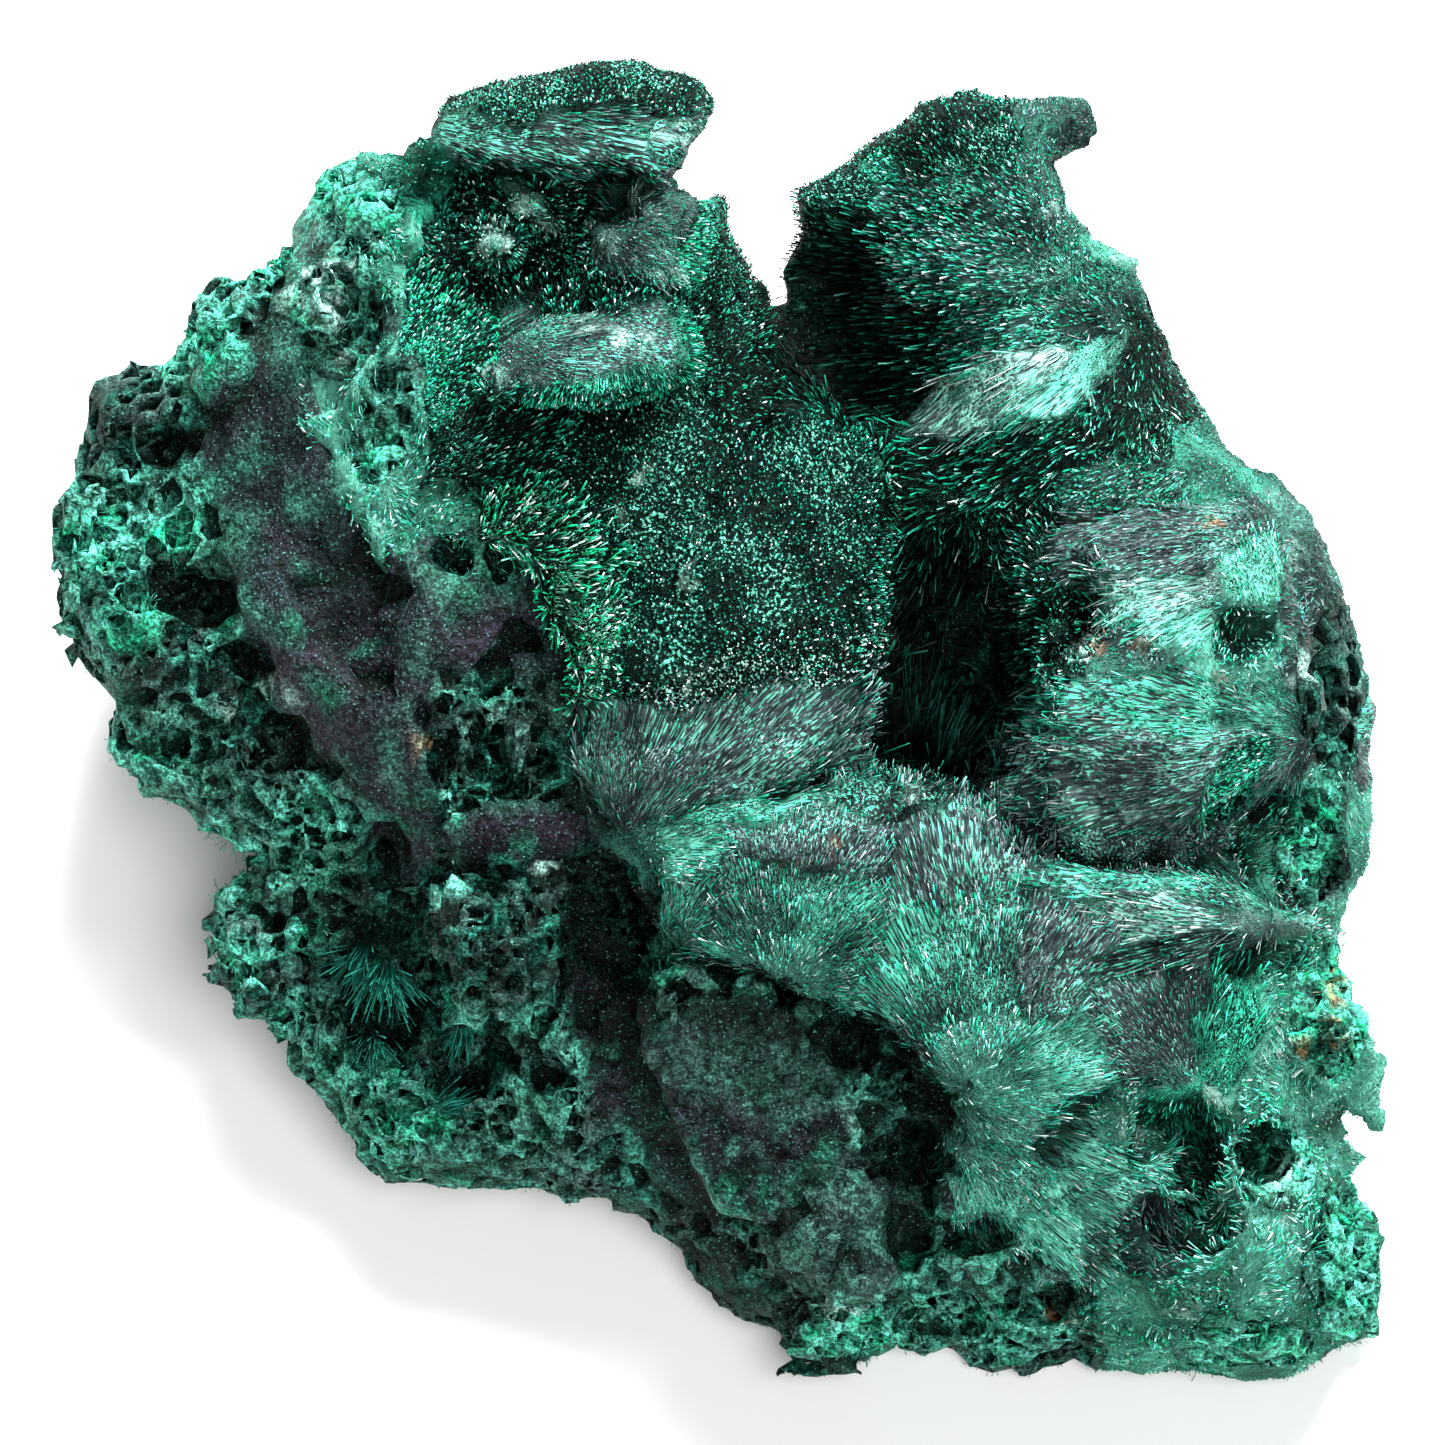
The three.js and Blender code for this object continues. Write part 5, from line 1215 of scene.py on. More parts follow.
def dusted_and_shaded(tint, points, colours):
    """A tint with the painted shade of the shaded patches, and the pale dust and the rust that lie on it."""
    u, v, shown = points[:, 0], points[:, 1], on_face(points[:, 2])
    grain = 0.5
    for n, (share, size) in enumerate(DUST_GRAINS):
        grain = grain + share * noise_at(points, size, SEED + 75 + n)
    grain = hollows(grain, *DUST_GRAIN)
    dust = (colours["mint"] + colours["pale"]) / 2
    # Painted shade in the shaded patches.
    tint = blend(tint, colours["pit"], DUST_AND_SHADE_STRENGTHS["pit"] * patch_cover(PAINTED_SHADE_PATCHES, u, v) * shown)
    tint = blend(tint, dust, DUST_AND_SHADE_STRENGTHS["dust"] * (patch_cover(DUST_PATCHES, u, v) * shown * grain))
    rust = patch_cover(RUST_PATCHES, u, v) * shown * grain
    return blend(tint, colours["rust"], DUST_AND_SHADE_STRENGTHS["rust"] * rust)


def fibre_tints(points, numbers, block, colours):
    """The dark and the light colour of the packed fibres at each point, with painted shade in their hollows,
    and the share that is light.
    """
    darks, lights, shares = [], [], []
    for *_, dress in SPRAYS:
        ground, _, _, group, weights = DRESSES[dress]
        light = {name: weight for name, weight in weights.items() if name in LIGHT_COLOURS}
        dark = {name: weight for name, weight in weights.items() if name not in LIGHT_COLOURS}
        darks.append((colours[ground] + mean_colour(dark, colours)) / 2)
        lights.append(mean_colour(light, colours))
        shares.append(LIGHT_SHARE[group] * sum(light.values()) / sum(weights.values()))
    broad = mottled(points, FIBRE_MOTTLE, SEED + 74)
    # Painted shade: the fibres in hollows are darkened.
    hollow = hollows(block.at(block.wide_fill, points), *FIBRE_HOLLOW_FILL)
    shade = ((FIBRE_SHADES[0] + FIBRE_SHADES[1] * broad) * (1 - FIBRE_HOLLOW_PAINTED_SHADE * hollow))[:, None]
    dark, light = (
        dusted_and_shaded(np.array(tints)[numbers] * shade, points, colours) for tints in (darks, lights)
    )
    return dark, light, np.array(shares)[numbers] + SHARE_VARIES * (broad - 0.5)


def mean_colour(weights, colours):
    """The mean of some named colours, each with its weight."""
    return sum(colours[name] * weight for name, weight in weights.items()) / sum(weights.values())


def scattered(piece, count, weight_of, rng):
    """count places on a mesh as points (u, v, w), with the face's normal there. They are the closer
    together, the greater weight_of(points, normals) is."""
    mesh = piece.data
    mesh.calc_loop_triangles()
    corners = np.empty(3 * len(mesh.loop_triangles), np.int32)
    mesh.loop_triangles.foreach_get("vertices", corners)
    corners = to_face(vertex_values(piece))[corners.reshape(-1, 3)]
    cross = np.cross(corners[:, 1] - corners[:, 0], corners[:, 2] - corners[:, 0])
    normals = unit(cross)
    weight = np.linalg.norm(cross, axis=1) * weight_of(corners.mean(axis=1), normals)
    chosen = rng.choice(len(weight), count, p=weight / weight.sum())
    a, b = rng.random((2, count, 1))
    a, b = np.where(a + b > 1, 1 - a, a), np.where(a + b > 1, 1 - b, b)
    first, second, third = np.moveaxis(corners[chosen], 1, 0)
    return first + a * (second - first) + b * (third - first), normals[chosen]


def needle_mesh(name, roots, tips, width, root_tints, tip_tints):
    """A mesh of slim three-sided needles with blunt tips, from their roots to their tips (u, v, w). The
    blunt tip is width across, in millimetres."""
    roots, tips = to_part(roots), to_part(tips)
    along = unit(tips - roots)
    helper = np.where(np.abs(along[:, :1]) > 0.7, [[0.0, 1.0, 0.0]], [[1.0, 0.0, 0.0]])
    side = unit(np.cross(along, helper))
    other = np.cross(along, side)
    turns = [2 * math.pi * n / 3 for n in range(3)]
    corners = [
        tips + (side * math.cos(turn) + other * math.sin(turn)) * (width / 2000)[:, None] for turn in turns
    ]
    vertices = np.stack([*corners, roots], 1).reshape(-1, 3)
    first = 4 * np.arange(len(roots))[:, None]
    faces = np.array([[0, 1, 2], [0, 3, 1], [1, 3, 2], [2, 3, 0]])
    piece = new_mesh(name, within_box(vertices), (first[..., None] + faces).reshape(-1, 3))
    paint_tint(piece, np.stack([tip_tints] * 3 + [root_tints], 1).reshape(-1, 3))
    return piece


def within_box(places):
    """Places brought in to the CAD part's box, gently at its sides and its top."""
    low, high = np.array(CAD_BOX)
    high = high - BOX_EASE
    low = low + (BOX_EASE, BOX_EASE, 0)
    over = np.maximum(places - high, 0)
    under = np.maximum(low - places, 0)
    under[..., 2] = 0
    places = np.clip(places, low, high)
    return places + BOX_EASE * (np.tanh(over / BOX_EASE) - np.tanh(under / BOX_EASE))


def needle_colours(numbers, points, colours, rng):
    """A colour for each needle, drawn from the dress of its spray."""
    picked = np.zeros((len(points), 3))
    draw = rng.random(len(points))
    for n, (*_, dress) in enumerate(SPRAYS):
        here = np.flatnonzero(numbers == n)
        shares = DRESSES[dress][4]
        edges = np.cumsum(list(shares.values())) / sum(shares.values())
        wheel = np.array([colours[name] for name in shares])
        picked[here] = wheel[np.minimum(np.searchsorted(edges, draw[here]), len(wheel) - 1)]
    spread = np.array([SHADE_SPREAD[DRESSES[dress][3]] for *_, dress in SPRAYS])[numbers]
    shade = NEEDLE_SHADES[0] + NEEDLE_SHADES[1] * noise_at(points, NEEDLE_MOTTLE, SEED + 81)
    shade = shade + spread * rng.normal(size=len(points))
    # The shaded patches darken the needles with painted shade, as they do the stone.
    return dusted_and_shaded(picked * np.clip(shade, *SHADE_LIMITS)[:, None], points, colours)


def shortened(near, over):
    """The share of its length that a needle keeps this near to the rim or the apex of its spray."""
    return SHORTEST + (1 - SHORTEST) * smooth(near / over)


def dressed_needles(name, host, group, count, width, rng, colours):
    """The needles of one group of dresses, set over the fibrous masses."""
    crowd = np.array([DRESSES[dress][1] * (DRESSES[dress][3] == group) for *_, dress in SPRAYS])
    stray = np.array([DRESSES[dress][2] for *_, dress in SPRAYS])
    length = np.array([spray[4] for spray in SPRAYS])
    lean = np.radians([spray[5] for spray in SPRAYS])

    def weight_of(points, normals):
        seen = above_crust(points, 0.5, 2)
        return (crowd / length**0.5)[spray_of(points)] * seen

    points, normals = scattered(host, count, weight_of, rng)
    numbers = spray_of(points)
    away = fibre_directions(points, numbers)
    away = unit(away + stray[numbers][:, None] * rng.normal(size=away.shape))
    off = np.sum(away * normals, axis=1)
    flat = unit(away - off[:, None] * normals)
    angle = lean[numbers] * rng.uniform(*LEAN_RANGE, count)
    if group != "silk":
        angle = np.maximum(np.arcsin(np.clip(off, -1, 1)), angle)
    aim = flat * np.cos(angle)[:, None] + normals * np.sin(angle)[:, None]
    reach = length[numbers] * rng.uniform(*LENGTH_RANGE, count)
    reach *= shortened(inside_by(RIM, points[:, 0], points[:, 1]), RIM_SHORTENING)
    far = np.linalg.norm(points - apexes_of(points, numbers), axis=1)
    reach *= shortened(far, APEX_SHORTENING)
    tips = points + aim * reach[:, None]
    tip_tints = needle_colours(numbers, points, colours, rng)
    widths = width * rng.uniform(*WIDTH_RANGE, count)
    # Painted shade: the roots are darker than the tips.
    root_tints = ROOT_PAINTED_SHADE[group] * tip_tints
    return needle_mesh(name, points - ROOT_DEPTH * normals, tips, widths, root_tints, tip_tints)


def joined(name, pieces):
    """Several meshes as one object of this name."""
    with bpy.context.temp_override(active_object=pieces[0], selected_editable_objects=pieces):
        bpy.ops.object.join()
    pieces[0].name = pieces[0].data.name = name
    return pieces[0]


def crust_needles(name, host, count, width, rng, colours, block):
    """The short felt on the ridges and the felted patches of the crust."""

    def weight_of(points, normals):
        felt = patch_cover(FELT_PATCHES, points[:, 0], points[:, 1])
        ridge = ridges(block.at(block.near_fill, points), *FELTED_RIDGE_FILL)
        crowd = CRUST_CROWD["all over"] + CRUST_CROWD["ridge"] * ridge + CRUST_CROWD["felt"] * felt
        return crowd * above_crust(points, 1, 3)

    points, normals = scattered(host, count, weight_of, rng)
    swirl = unit(swirls(points, CRUST_SWIRL, SEED + 91))
    aim = unit(CRUST_UPRIGHT * normals + swirl + CRUST_STRAY * rng.normal(size=points.shape))
    felt = patch_cover(FELT_PATCHES, points[:, 0], points[:, 1])
    length = CRUST_LENGTHS[0] + CRUST_LENGTHS[1] * felt
    tips = points + aim * (length * rng.uniform(*CRUST_LENGTH_RANGE, count))[:, None]
    tint = crust_tints(points, block, colours)
    tint = blend(tint, colours["teal"], CRUST_TEAL * rng.random(count))
    tint = blend(tint, colours["mint"], (rng.random(count) > 1 - MINT_SHARE) * MINT_TURN)
    widths = width * rng.uniform(*CRUST_WIDTH_RANGE, count)
    return needle_mesh(name, points, tips, widths, CRUST_ROOT_PAINTED_SHADE * tint, tint)


def tuft_needles(name, width, rng, colours):
    """The loose tufts of long needles in the hollows."""
    roots, tips, tints = [], [], []
    for root, aim, length, spread, count, light in TUFTS:
        root, aim = np.array(root, float), np.array(aim, float)
        way = unit(unit(aim - root) + spread * rng.normal(size=(count, 3)) / 2)
        start = root + TUFT_SPREAD * rng.normal(size=(count, 3))
        roots.append(start)
        tips.append(start + way * (length * rng.uniform(*TUFT_LENGTH_RANGE, count))[:, None])
        # light darkens the tufts in the cavity as painted shade.
        tints.append(light * blend(colours["deep"], colours["teal"], rng.random(count) ** TUFT_DARKNESS))
    roots, tips, tints = np.concatenate(roots), np.concatenate(tips), np.concatenate(tints)
    return needle_mesh(name, roots, tips, np.full(len(roots), width), tints, TUFT_TIP_PAINTED_LIGHT * tints)


# Sizes in the finishes, in metres. A dash and a bundle have their width as an angle from the apex first.
GRAIN_SIZE = 0.00045
SPECK_SIZE = 0.00018
DASH = (0.01, 0.0022)
BUNDLE = (0.04, 0.009)
UNEVEN_SIZE = 0.0003
GRAIN_DEPTH = 0.0003
SPECK_DEPTH = 0.0001
DASH_DEPTH = 0.00025
BUNDLE_DEPTH = 0.0006
CLOUD_SIZE = 0.02
CARD_GRAIN = 0.0008
CARD_DEPTH = 0.00002

# How they change the tint: a range of the noise, and the brightness or the share that it becomes.
GRAIN_LIGHT = (0.37, 0.63, 0.38, 1.65)
SPECK_LIGHT = (0.35, 0.65, 0.5, 1.6)
SPECK_MINT = (0.66, 0.74, 0.0, 0.35)
LIGHT_DASHES = (0.46, 0.55, 0.0, 1.0)
SHARE_SHIFT = (0.3, -0.15)  # the dashes are shifted by this much of the share of light fibres, and this
DASH_LIGHT = (0.35, 0.65, 0.5, 1.4)
BUNDLE_LIGHT = (0.3, 0.7, 0.6, 1.3)
UNEVEN_LIGHT = (0.3, 0.7, 0.6, 1.4)
CARD_LIGHT = (0, 1, 0.985, 1.0)


class Finish:
    """A material under construction, with short ways to add the nodes that it needs."""

    def __init__(self, name, roughness, specular):
        self.material = bpy.data.materials.new(name)
        self.material.use_nodes = True
        self.tree = self.material.node_tree
        self.skin = self.tree.nodes["Principled BSDF"]
        self.skin.inputs["Roughness"].default_value = roughness
        self.skin.inputs["Specular IOR Level"].default_value = specular
        self.place = self.result("Object", "ShaderNodeTexCoord")

    def feed(self, socket, value):
        """Puts a number, a colour or another node's output in a socket."""
        if isinstance(value, bpy.types.NodeSocket):
            self.tree.links.new(value, socket)
        else:
            socket.default_value = value

    def result(self, output, kind, values=(), **settings):
        """An output of a new node with these settings, and values for its sockets by name or number."""
        node = self.tree.nodes.new(kind)
        for name, value in settings.items():
            setattr(node, name, value)
        for socket, value in dict(values).items():
            self.feed(node.inputs[socket], value)
        return node.outputs[output]

    def attribute(self, name, output="Color"):
        """A value kept in the mesh."""
        return self.result(output, "ShaderNodeAttribute", attribute_name=name)

    def vector(self, how, *values, output="Vector"):
        """The result of a step of vector arithmetic."""
        return self.result(output, "ShaderNodeVectorMath", enumerate(values), operation=how)

    def number(self, how, *values):
        """The result of a step of arithmetic."""
        return self.result("Value", "ShaderNodeMath", enumerate(values), operation=how)

    def grain(self, place, size, detail=3.0):
        """Noise with lumps about size across, in the unit of place."""
        values = {"Vector": place, "Scale": 1 / size, "Detail": detail}
        return self.result("Fac", "ShaderNodeTexNoise", values)

    def dashes(self, away, far, across, along):
        """Noise drawn out along the way from an apex. across is its width as an angle, along its length."""
        values = {"Vector": away, "Scale": 1 / across, "Detail": 2.0}
        values["W"] = self.number("MULTIPLY", far, across / along)
        return self.result("Fac", "ShaderNodeTexNoise", values, noise_dimensions="4D")

    def ranged(self, *values):
        """A value brought from one range to another, given as the value, low and high, low and high."""
        return self.result(
            "Result", "ShaderNodeMapRange", enumerate(values), interpolation_type="SMOOTHSTEP"
        )

    def mix(self, a, b, amount):
        """Two colours mixed."""
        values = {"Factor": amount, "A": a, "B": b}
        return self.result("Result", "ShaderNodeMix", values, data_type="RGBA", clamp_factor=True)

    def scaled(self, colour, amount):
        """A colour made brighter or darker by an amount."""
        return self.vector("MULTIPLY", colour, amount)

    def colour(self, tint):
        """Gives the skin its colour."""
        self.feed(self.skin.inputs["Base Color"], tint)

    def bump(self, heights):
        """Lets light see small heights, as (value, depth in metres)."""
        values = {}
        for height, depth in heights:
            values |= {"Height": height, "Distance": depth}
            values["Normal"] = self.result("Normal", "ShaderNodeBump", values)
        self.feed(self.skin.inputs["Normal"], values["Normal"])


def crust_finish(colours):
    """Granular crust: its tint broken up by grains, with bright specks."""
    finish = Finish("Granular crust", roughness=0.6, specular=0.1)
    grains = finish.grain(finish.place, GRAIN_SIZE)
    specks = finish.grain(finish.place, SPECK_SIZE, 1.0)
    tint = finish.scaled(finish.attribute("tint"), finish.ranged(grains, *GRAIN_LIGHT))
    tint = finish.scaled(tint, finish.ranged(specks, *SPECK_LIGHT))
    bright = finish.ranged(specks, *SPECK_MINT)
    tint = finish.mix(tint, (*colours["mint"], 1), bright)
    finish.colour(tint)
    finish.bump([(grains, GRAIN_DEPTH), (specks, SPECK_DEPTH)])
    return finish.material


def fibre_finish():
    """Packed fibres: dark and light ones in dashes that run away from the apex of each spray."""
    finish = Finish("Packed fibres", roughness=0.55, specular=0.06)
    run = finish.vector("SUBTRACT", finish.place, finish.attribute("apex", "Vector"))
    away = finish.vector("NORMALIZE", run)
    far = finish.vector("LENGTH", run, output="Value")
    dashes = finish.dashes(away, far, *DASH)
    bundles = finish.dashes(away, far, *BUNDLE)
    shift = finish.number("MULTIPLY_ADD", finish.attribute("share", "Fac"), *SHARE_SHIFT)
    lightness = finish.ranged(finish.number("ADD", dashes, shift), *LIGHT_DASHES)
    dark, light = finish.attribute("tint"), finish.attribute("light")
    tint = finish.mix(dark, light, lightness)
    tint = finish.scaled(tint, finish.ranged(dashes, *DASH_LIGHT))
    tint = finish.scaled(tint, finish.ranged(bundles, *BUNDLE_LIGHT))
    finish.colour(tint)
    finish.bump([(bundles, BUNDLE_DEPTH), (dashes, DASH_DEPTH)])
    return finish.material


def needle_finish():
    """Silky needles: glossier than the stone below, each a little uneven along its length."""
    finish = Finish("Silky needles", roughness=0.45, specular=0.07)
    uneven = finish.grain(finish.place, UNEVEN_SIZE, 2.0)
    finish.colour(finish.scaled(finish.attribute("tint"), finish.ranged(uneven, *UNEVEN_LIGHT)))
    return finish.material


def floor_finish(colour):
    """Pale matt card."""
    finish = Finish("Pale card", roughness=0.85, specular=0.2)
    cloudy = finish.grain(finish.place, CLOUD_SIZE)
    finish.colour(finish.scaled((*colour[:3],), finish.ranged(cloudy, *CARD_LIGHT)))
    finish.bump([(finish.grain(finish.place, CARD_GRAIN), CARD_DEPTH)])
    return finish.material


def srgb(code):
    """A colour written as #rrggbb, in the linear numbers that a shader takes."""
    levels = [int(code[n : n + 2], 16) / 255 for n in (1, 3, 5)]
    return tuple(x / 12.92 if x <= 0.04045 else ((x + 0.055) / 1.055) ** 2.4 for x in levels)


def colour_property(name, description, code):
    """A property for one colour of the specimen."""
    return FloatVectorProperty(
        name=name, description=description, default=srgb(code), size=3, min=0, max=1, subtype="COLOR"
    )


def count_property(name, description, default, limits):
    """A property for a number of faces or needles."""
    least, most = limits
    return IntProperty(name=name, description=description, default=default, min=least, max=most)


def strength_property(name, description, default):
    """A property for how strong a light is."""
    return FloatProperty(name=name, description=description, default=default, min=0)


class MalachiteColours(bpy.types.PropertyGroup):
    """The colours that the specimen is made of."""

    # Pit is also the colour of the painted shade in hollows, shaded patches and shaded dresses.
    pit: colour_property("Pit", "Deepest green between the needles", "#030C0A")
    deep: colour_property("Deep green", "Needles in shade and the crust's cells", "#063830")
    emerald: colour_property("Emerald", "Clean green needles", "#0A8A68")
    vivid: colour_property("Vivid green", "Brightest green, in the felt and the long tufts", "#0EB47C")
    teal: colour_property("Teal", "Green with a little blue, on ridges and silk", "#32A893")
    mint: colour_property("Mint", "Pale green felt and veins", "#7CD8C4")
    # Pale needles are painted glints and sheen; pale dust is the dust's own colour.
    pale: colour_property("Pale", "Nearly white dust and needle tips", "#DDF3EE")
    slate: colour_property("Slate", "Grey silk seen from the side", "#687A7E")
    charcoal: colour_property("Charcoal", "Dark grey stone", "#192628")
    violet: colour_property("Violet grey", "Smooth granular patches of the crust", "#292330")
    rust: colour_property("Rust", "Rusty specks", "#A8642E")


FACE_LIMITS = (1000, 199000)
NEEDLE_LIMITS = (100, 49000)
FELT_LIMITS = (100, 40000)


class MalachiteSizes(bpy.types.PropertyGroup):
    """How finely the specimen is made."""

    grid_step: FloatProperty(
        name="Grid step", description="Spacing of the grid that the forms are grown on, in millimetres",
        default=0.33, min=0.25, max=1.5,
    )
    crust_faces: count_property("Crust faces", "Triangles in the crust on the face", 185000, FACE_LIMITS)
    back_faces: count_property("Back faces", "Triangles in the crust behind", 110000, FACE_LIMITS)
    fibre_faces: count_property("Fibre faces", "Triangles in the fibrous masses", 120000, FACE_LIMITS)
    needle_width: FloatProperty(
        name="Needle width", description="Width of a velvet needle at its tip, in millimetres",
        default=0.12, min=0.05, max=0.5,
    )
    velvet_needles: count_property("Velvet needles", "Needles of the velvet", 48000, NEEDLE_LIMITS)
    silk_needles: count_property("Silk needles", "Needles of the silky fans", 48000, NEEDLE_LIMITS)
    felt_needles: count_property(
        "Felt needles", "Needles of the felt on the fibrous masses", 27000, FELT_LIMITS
    )
    crust_needles: count_property("Crust needles", "Needles of the felt on the crust", 15000, FELT_LIMITS)


class MalachiteStage(bpy.types.PropertyGroup):
    """The floor, the light and the camera."""

    floor_size: FloatProperty(
        name="Floor size", description="Width of the floor", default=3.0, unit="LENGTH",
    )
    floor_colour: colour_property("Floor colour", "Colour of the card", "#F7F7F7")
    key_power: strength_property("Key light", "Power of the key light, in watts", 22.0)
    fill_power: strength_property("Fill light", "Power of the fill light, in watts", 4.2)
    sky: strength_property("Room light", "Strength of the light from all round", 0.2)


def palette(context):
    """The specimen's colours by name."""
    group = context.scene.malachite_colours
    return {name: np.array(getattr(group, name)) for name in MalachiteColours.__annotations__}


def settings(context):
    sizes = context.scene.malachite_sizes
    return sizes, palette(context), sizes.grid_step * 1


def settle(piece, material):
    """Gives a piece its material and its place in the object."""
    piece.data.materials.clear()
    piece.data.materials.append(material)
    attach(piece, BODY)
    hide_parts(NODE)
    return piece


def found(name):
    """A piece that was made before."""
    if name not in bpy.data.objects:
        raise RuntimeError(f"{name} has to be made first")
    return bpy.data.objects[name]


def grow_crust(name, step, region, faces, colours):
    """Grows the part of the crust that lies in a region, with its colours."""
    block = grown_block(step)
    piece = grown_body(name, step, np.minimum(block.values, region + SEAM_OVERLAP))
    thin_out(piece, faces)
    paint_tint(piece, crust_tints(to_face(vertex_values(piece)), block, colours))
    return piece


class MALACHITE_OT_crust(bpy.types.Operator):
    """Grows the cellular crust of the face"""

    bl_idname = "malachite.crust"
    bl_label = "Grow the crust"

    def execute(self, context):
        sizes, colours, step = settings(context)
        block = grown_block(step)
        region = np.minimum(crust_side(step), block.w - BACK_FROM - seam_waves(block))
        piece = grow_crust("Crust", step, region, sizes.crust_faces, colours)
        settle(piece, crust_finish(colours))
        return {"FINISHED"}


class MALACHITE_OT_back(bpy.types.Operator):
    """Grows the crust of the sides and the back"""

    bl_idname = "malachite.back"
    bl_label = "Grow the back"

    def execute(self, context):
        sizes, colours, step = settings(context)
        block = grown_block(step)
        region = BACK_FROM + seam_waves(block) - block.w
        piece = grow_crust("Back", step, region, sizes.back_faces, colours)
        settle(piece, found("Crust").data.materials[0])
        return {"FINISHED"}


class MALACHITE_OT_fibres(bpy.types.Operator):
    """Grows the fibrous masses that the needles stand on"""

    bl_idname = "malachite.fibres"
    bl_label = "Grow the fibrous masses"

    def execute(self, context):
        sizes, colours, step = settings(context)
        block = grown_block(step)
        side = -crust_side(step)
        bed = NEEDLE_BED * smooth(side / EDGE_FADE)
        piece = grown_body("Fibrous_masses", step, np.minimum(block.values - bed, side + SEAM_OVERLAP))
        places = vertex_values(piece)
        points = to_face(places)
        relief = fan_relief(points, spray_of(points)) * above_crust(points, 0, 2)
        places += vertex_values(piece, "normal") * relief[:, None] / 1000
        put_vertices(piece, places)
        thin_out(piece, sizes.fibre_faces)
        points = to_face(vertex_values(piece))
        numbers = spray_of(points)
        dark, light, share = fibre_tints(points, numbers, block, colours)
        paint_tint(piece, dark)
        paint(piece, "light", np.pad(light, ((0, 0), (0, 1)), constant_values=1), "FLOAT_COLOR")
        paint(piece, "share", share, "FLOAT")
        paint(piece, "apex", to_part(apexes_of(points, numbers)), "FLOAT_VECTOR")
        settle(piece, fibre_finish())
        return {"FINISHED"}


class MALACHITE_OT_velvet(bpy.types.Operator):
    """Sets the velvet of short needles on the fibrous masses"""

    bl_idname = "malachite.velvet"
    bl_label = "Set the velvet"

    def execute(self, context):
        sizes, colours, _ = settings(context)
        rng = np.random.default_rng(SEED + 1)
        host, width = found("Fibrous_masses"), sizes.needle_width
        piece = dressed_needles("Velvet", host, "velvet", sizes.velvet_needles, width, rng, colours)
        settle(piece, needle_finish())
        return {"FINISHED"}


class MALACHITE_OT_silk(bpy.types.Operator):
    """Sets the silky fans of lying needles on the fibrous masses"""

    bl_idname = "malachite.silk"
    bl_label = "Set the silky fans"

    def execute(self, context):
        sizes, colours, _ = settings(context)
        rng = np.random.default_rng(SEED + 2)
        host = found("Fibrous_masses")
        width = NEEDLE_WIDTHS["silk"] * sizes.needle_width
        piece = dressed_needles("Silky_fans", host, "silk", sizes.silk_needles, width, rng, colours)
        settle(piece, found("Velvet").data.materials[0])
        return {"FINISHED"}


class MALACHITE_OT_felt(bpy.types.Operator):
    """Sets the felt on the fibrous masses and the crust, and the tufts in the hollows"""

    bl_idname = "malachite.felt"
    bl_label = "Set the felt"

    def execute(self, context):
        sizes, colours, step = settings(context)
        rng = np.random.default_rng(SEED + 3)
        width = NEEDLE_WIDTHS["felt"] * sizes.needle_width
        crust_width = NEEDLE_WIDTHS["crust felt"] * width
        block = grown_block(step)
        masses, crust = found("Fibrous_masses"), found("Crust")
        piece = joined("Felt", [
            dressed_needles("Felt", masses, "felt", sizes.felt_needles, width, rng, colours),
            crust_needles("Crust_felt", crust, sizes.crust_needles, crust_width, rng, colours, block),
            tuft_needles("Tufts", NEEDLE_WIDTHS["tufts"] * width, rng, colours),
        ])
        settle(piece, found("Velvet").data.materials[0])
        return {"FINISHED"}


def aimed(thing, place, target):
    """Puts an object of this data at a place, looking at a target."""
    item = bpy.data.objects.new(thing.name, thing)
    bpy.context.scene.collection.objects.link(item)
    item.location = place
    item.rotation_euler = (Vector(target) - Vector(place)).to_track_quat("-Z", "Y").to_euler()
    return item


def lamp(name, place, power, size):
    """A square soft light that looks at the specimen."""
    light = bpy.data.lights.new(name, "AREA")
    light.energy = power
    light.size = size
    return aimed(light, place, LIT_POINT)


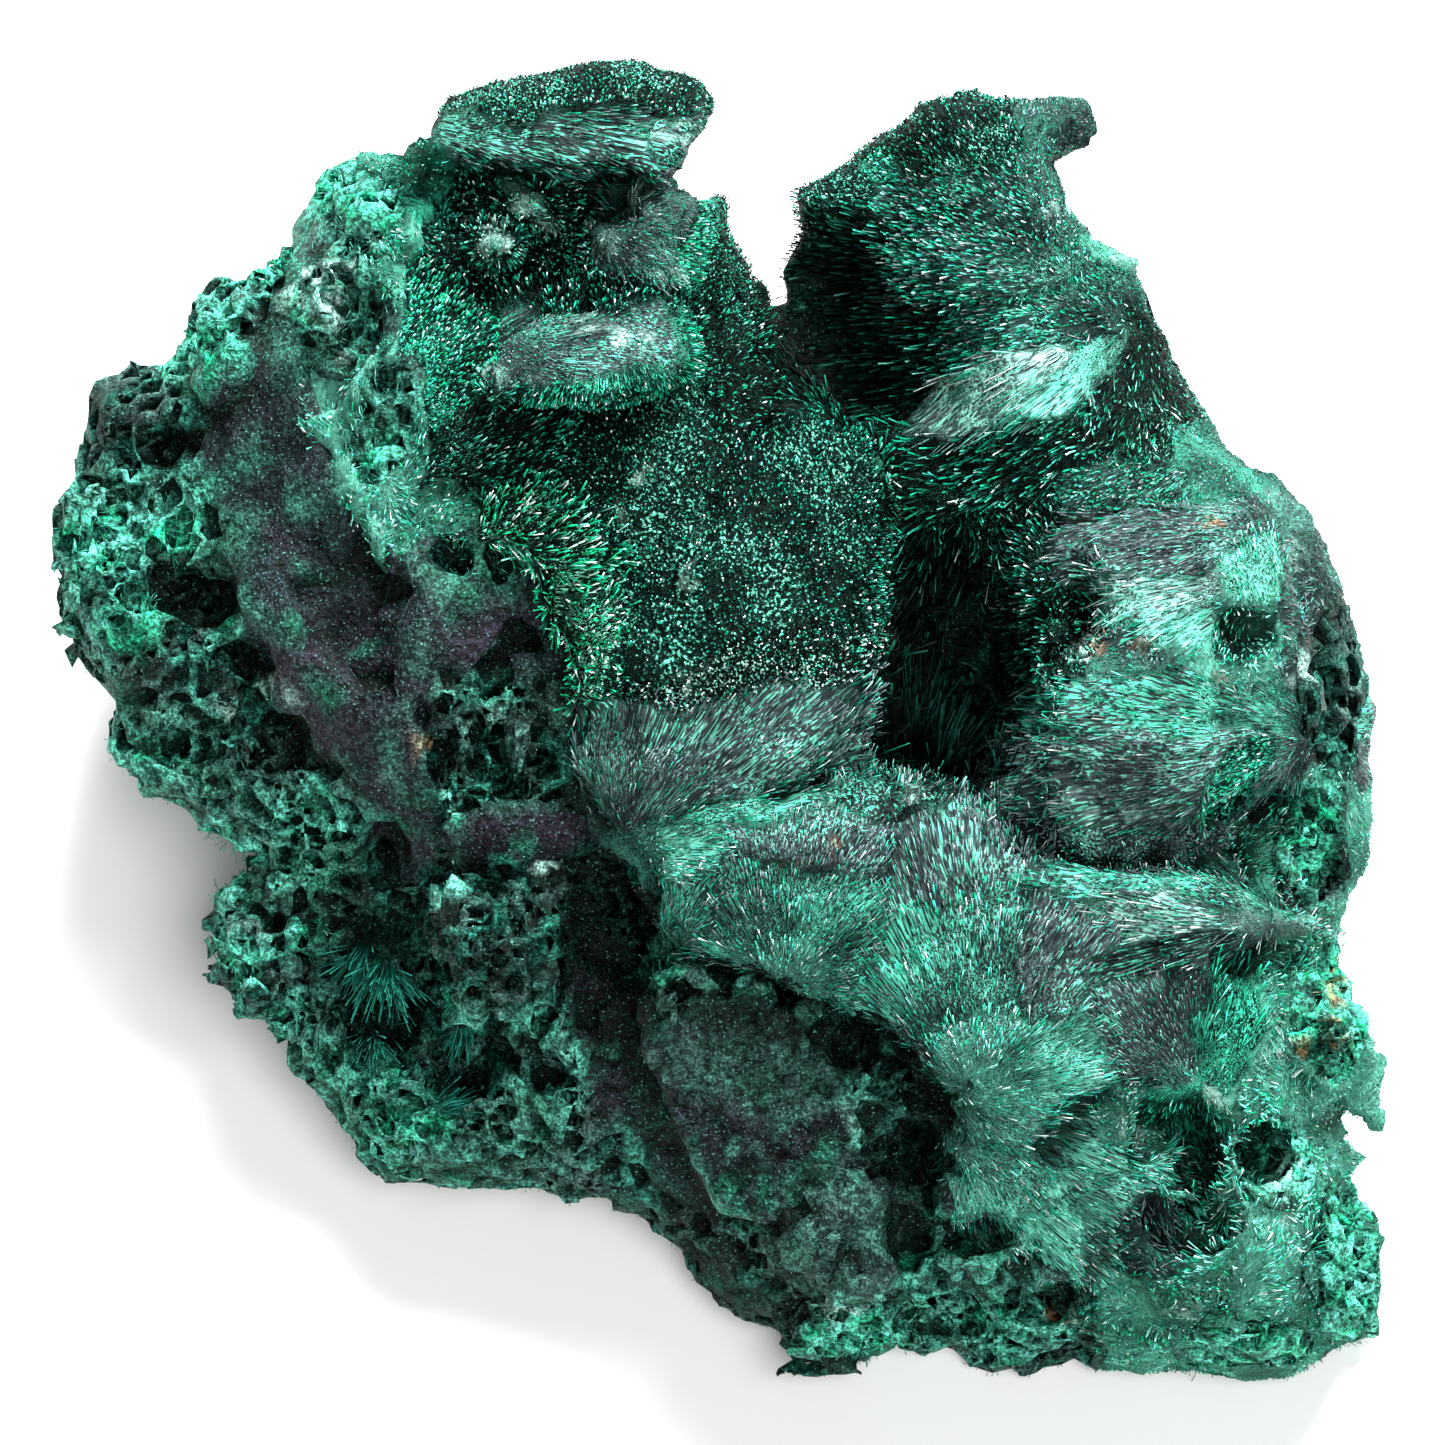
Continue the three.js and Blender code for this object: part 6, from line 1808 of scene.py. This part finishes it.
class MALACHITE_OT_stage(bpy.types.Operator):
    """Sets the floor, the soft light and the camera"""

    bl_idname = "malachite.stage"
    bl_label = "Set the stage"

    def execute(self, context):
        stage = context.scene.malachite_stage
        reach = stage.floor_size / 2
        corners = [(-reach, -reach, 0), (reach, -reach, 0), (reach, reach, 0), (-reach, reach, 0)]
        floor = new_mesh("Floor", corners, [(0, 1, 2, 3)])
        floor.data.materials.append(floor_finish(stage.floor_colour))
        lamp("Key light", KEY_PLACE, stage.key_power, LAMP_SIZE)
        lamp("Fill light", FILL_PLACE, stage.fill_power, LAMP_SIZE)
        world = bpy.data.worlds.new("Room")
        world.use_nodes = True
        world.node_tree.nodes["Background"].inputs["Color"].default_value = (1, 1, 1, 1)
        world.node_tree.nodes["Background"].inputs["Strength"].default_value = stage.sky
        context.scene.world = world
        middle = to_part((0, 0, 0))
        outward = unit(to_part((0, 0, 1)) - middle)
        camera = bpy.data.cameras.new("Camera")
        camera.sensor_width = SENSOR
        camera.lens = SENSOR * SEEN_FROM / PHOTO_WIDTH
        context.scene.camera = aimed(camera, middle + outward * SEEN_FROM / 1000, middle)
        context.scene.view_settings.view_transform = "Standard"
        return {"FINISHED"}


OPERATORS = [
    MALACHITE_OT_crust, MALACHITE_OT_back, MALACHITE_OT_fibres, MALACHITE_OT_velvet, MALACHITE_OT_silk,
    MALACHITE_OT_felt, MALACHITE_OT_stage,
]


class MALACHITE_PT_panel(bpy.types.Panel):
    """Lists the specimen's settings and the steps that make it"""

    bl_idname = "MALACHITE_PT_panel"
    bl_label = "Malachite specimen"
    bl_space_type = "VIEW_3D"
    bl_region_type = "UI"
    bl_category = "Malachite"

    def draw(self, context):
        scene = context.scene
        for group in (scene.malachite_sizes, scene.malachite_colours, scene.malachite_stage):
            box = self.layout.box()
            for name in type(group).__annotations__:
                box.prop(group, name)
        for operator in OPERATORS:
            self.layout.operator(operator.bl_idname)


GROUPS = {
    "malachite_sizes": MalachiteSizes,
    "malachite_colours": MalachiteColours,
    "malachite_stage": MalachiteStage,
}


def register():
    """Makes the settings, the operators and the panel known to Blender."""
    for name, group in GROUPS.items():
        bpy.utils.register_class(group)
        setattr(bpy.types.Scene, name, PointerProperty(type=group))
    for kind in [*OPERATORS, MALACHITE_PT_panel]:
        bpy.utils.register_class(kind)


def unregister():
    """Takes them away again."""
    for kind in [MALACHITE_PT_panel, *reversed(OPERATORS)]:
        bpy.utils.unregister_class(kind)
    for name, group in reversed(GROUPS.items()):
        delattr(bpy.types.Scene, name)
        bpy.utils.unregister_class(group)


def main():
    """Makes the whole specimen and its stage."""
    register()
    bpy.ops.malachite.crust()
    bpy.ops.malachite.back()
    bpy.ops.malachite.fibres()
    bpy.ops.malachite.velvet()
    bpy.ops.malachite.silk()
    bpy.ops.malachite.felt()
    bpy.ops.malachite.stage()


if __name__ == "__main__":
    main()
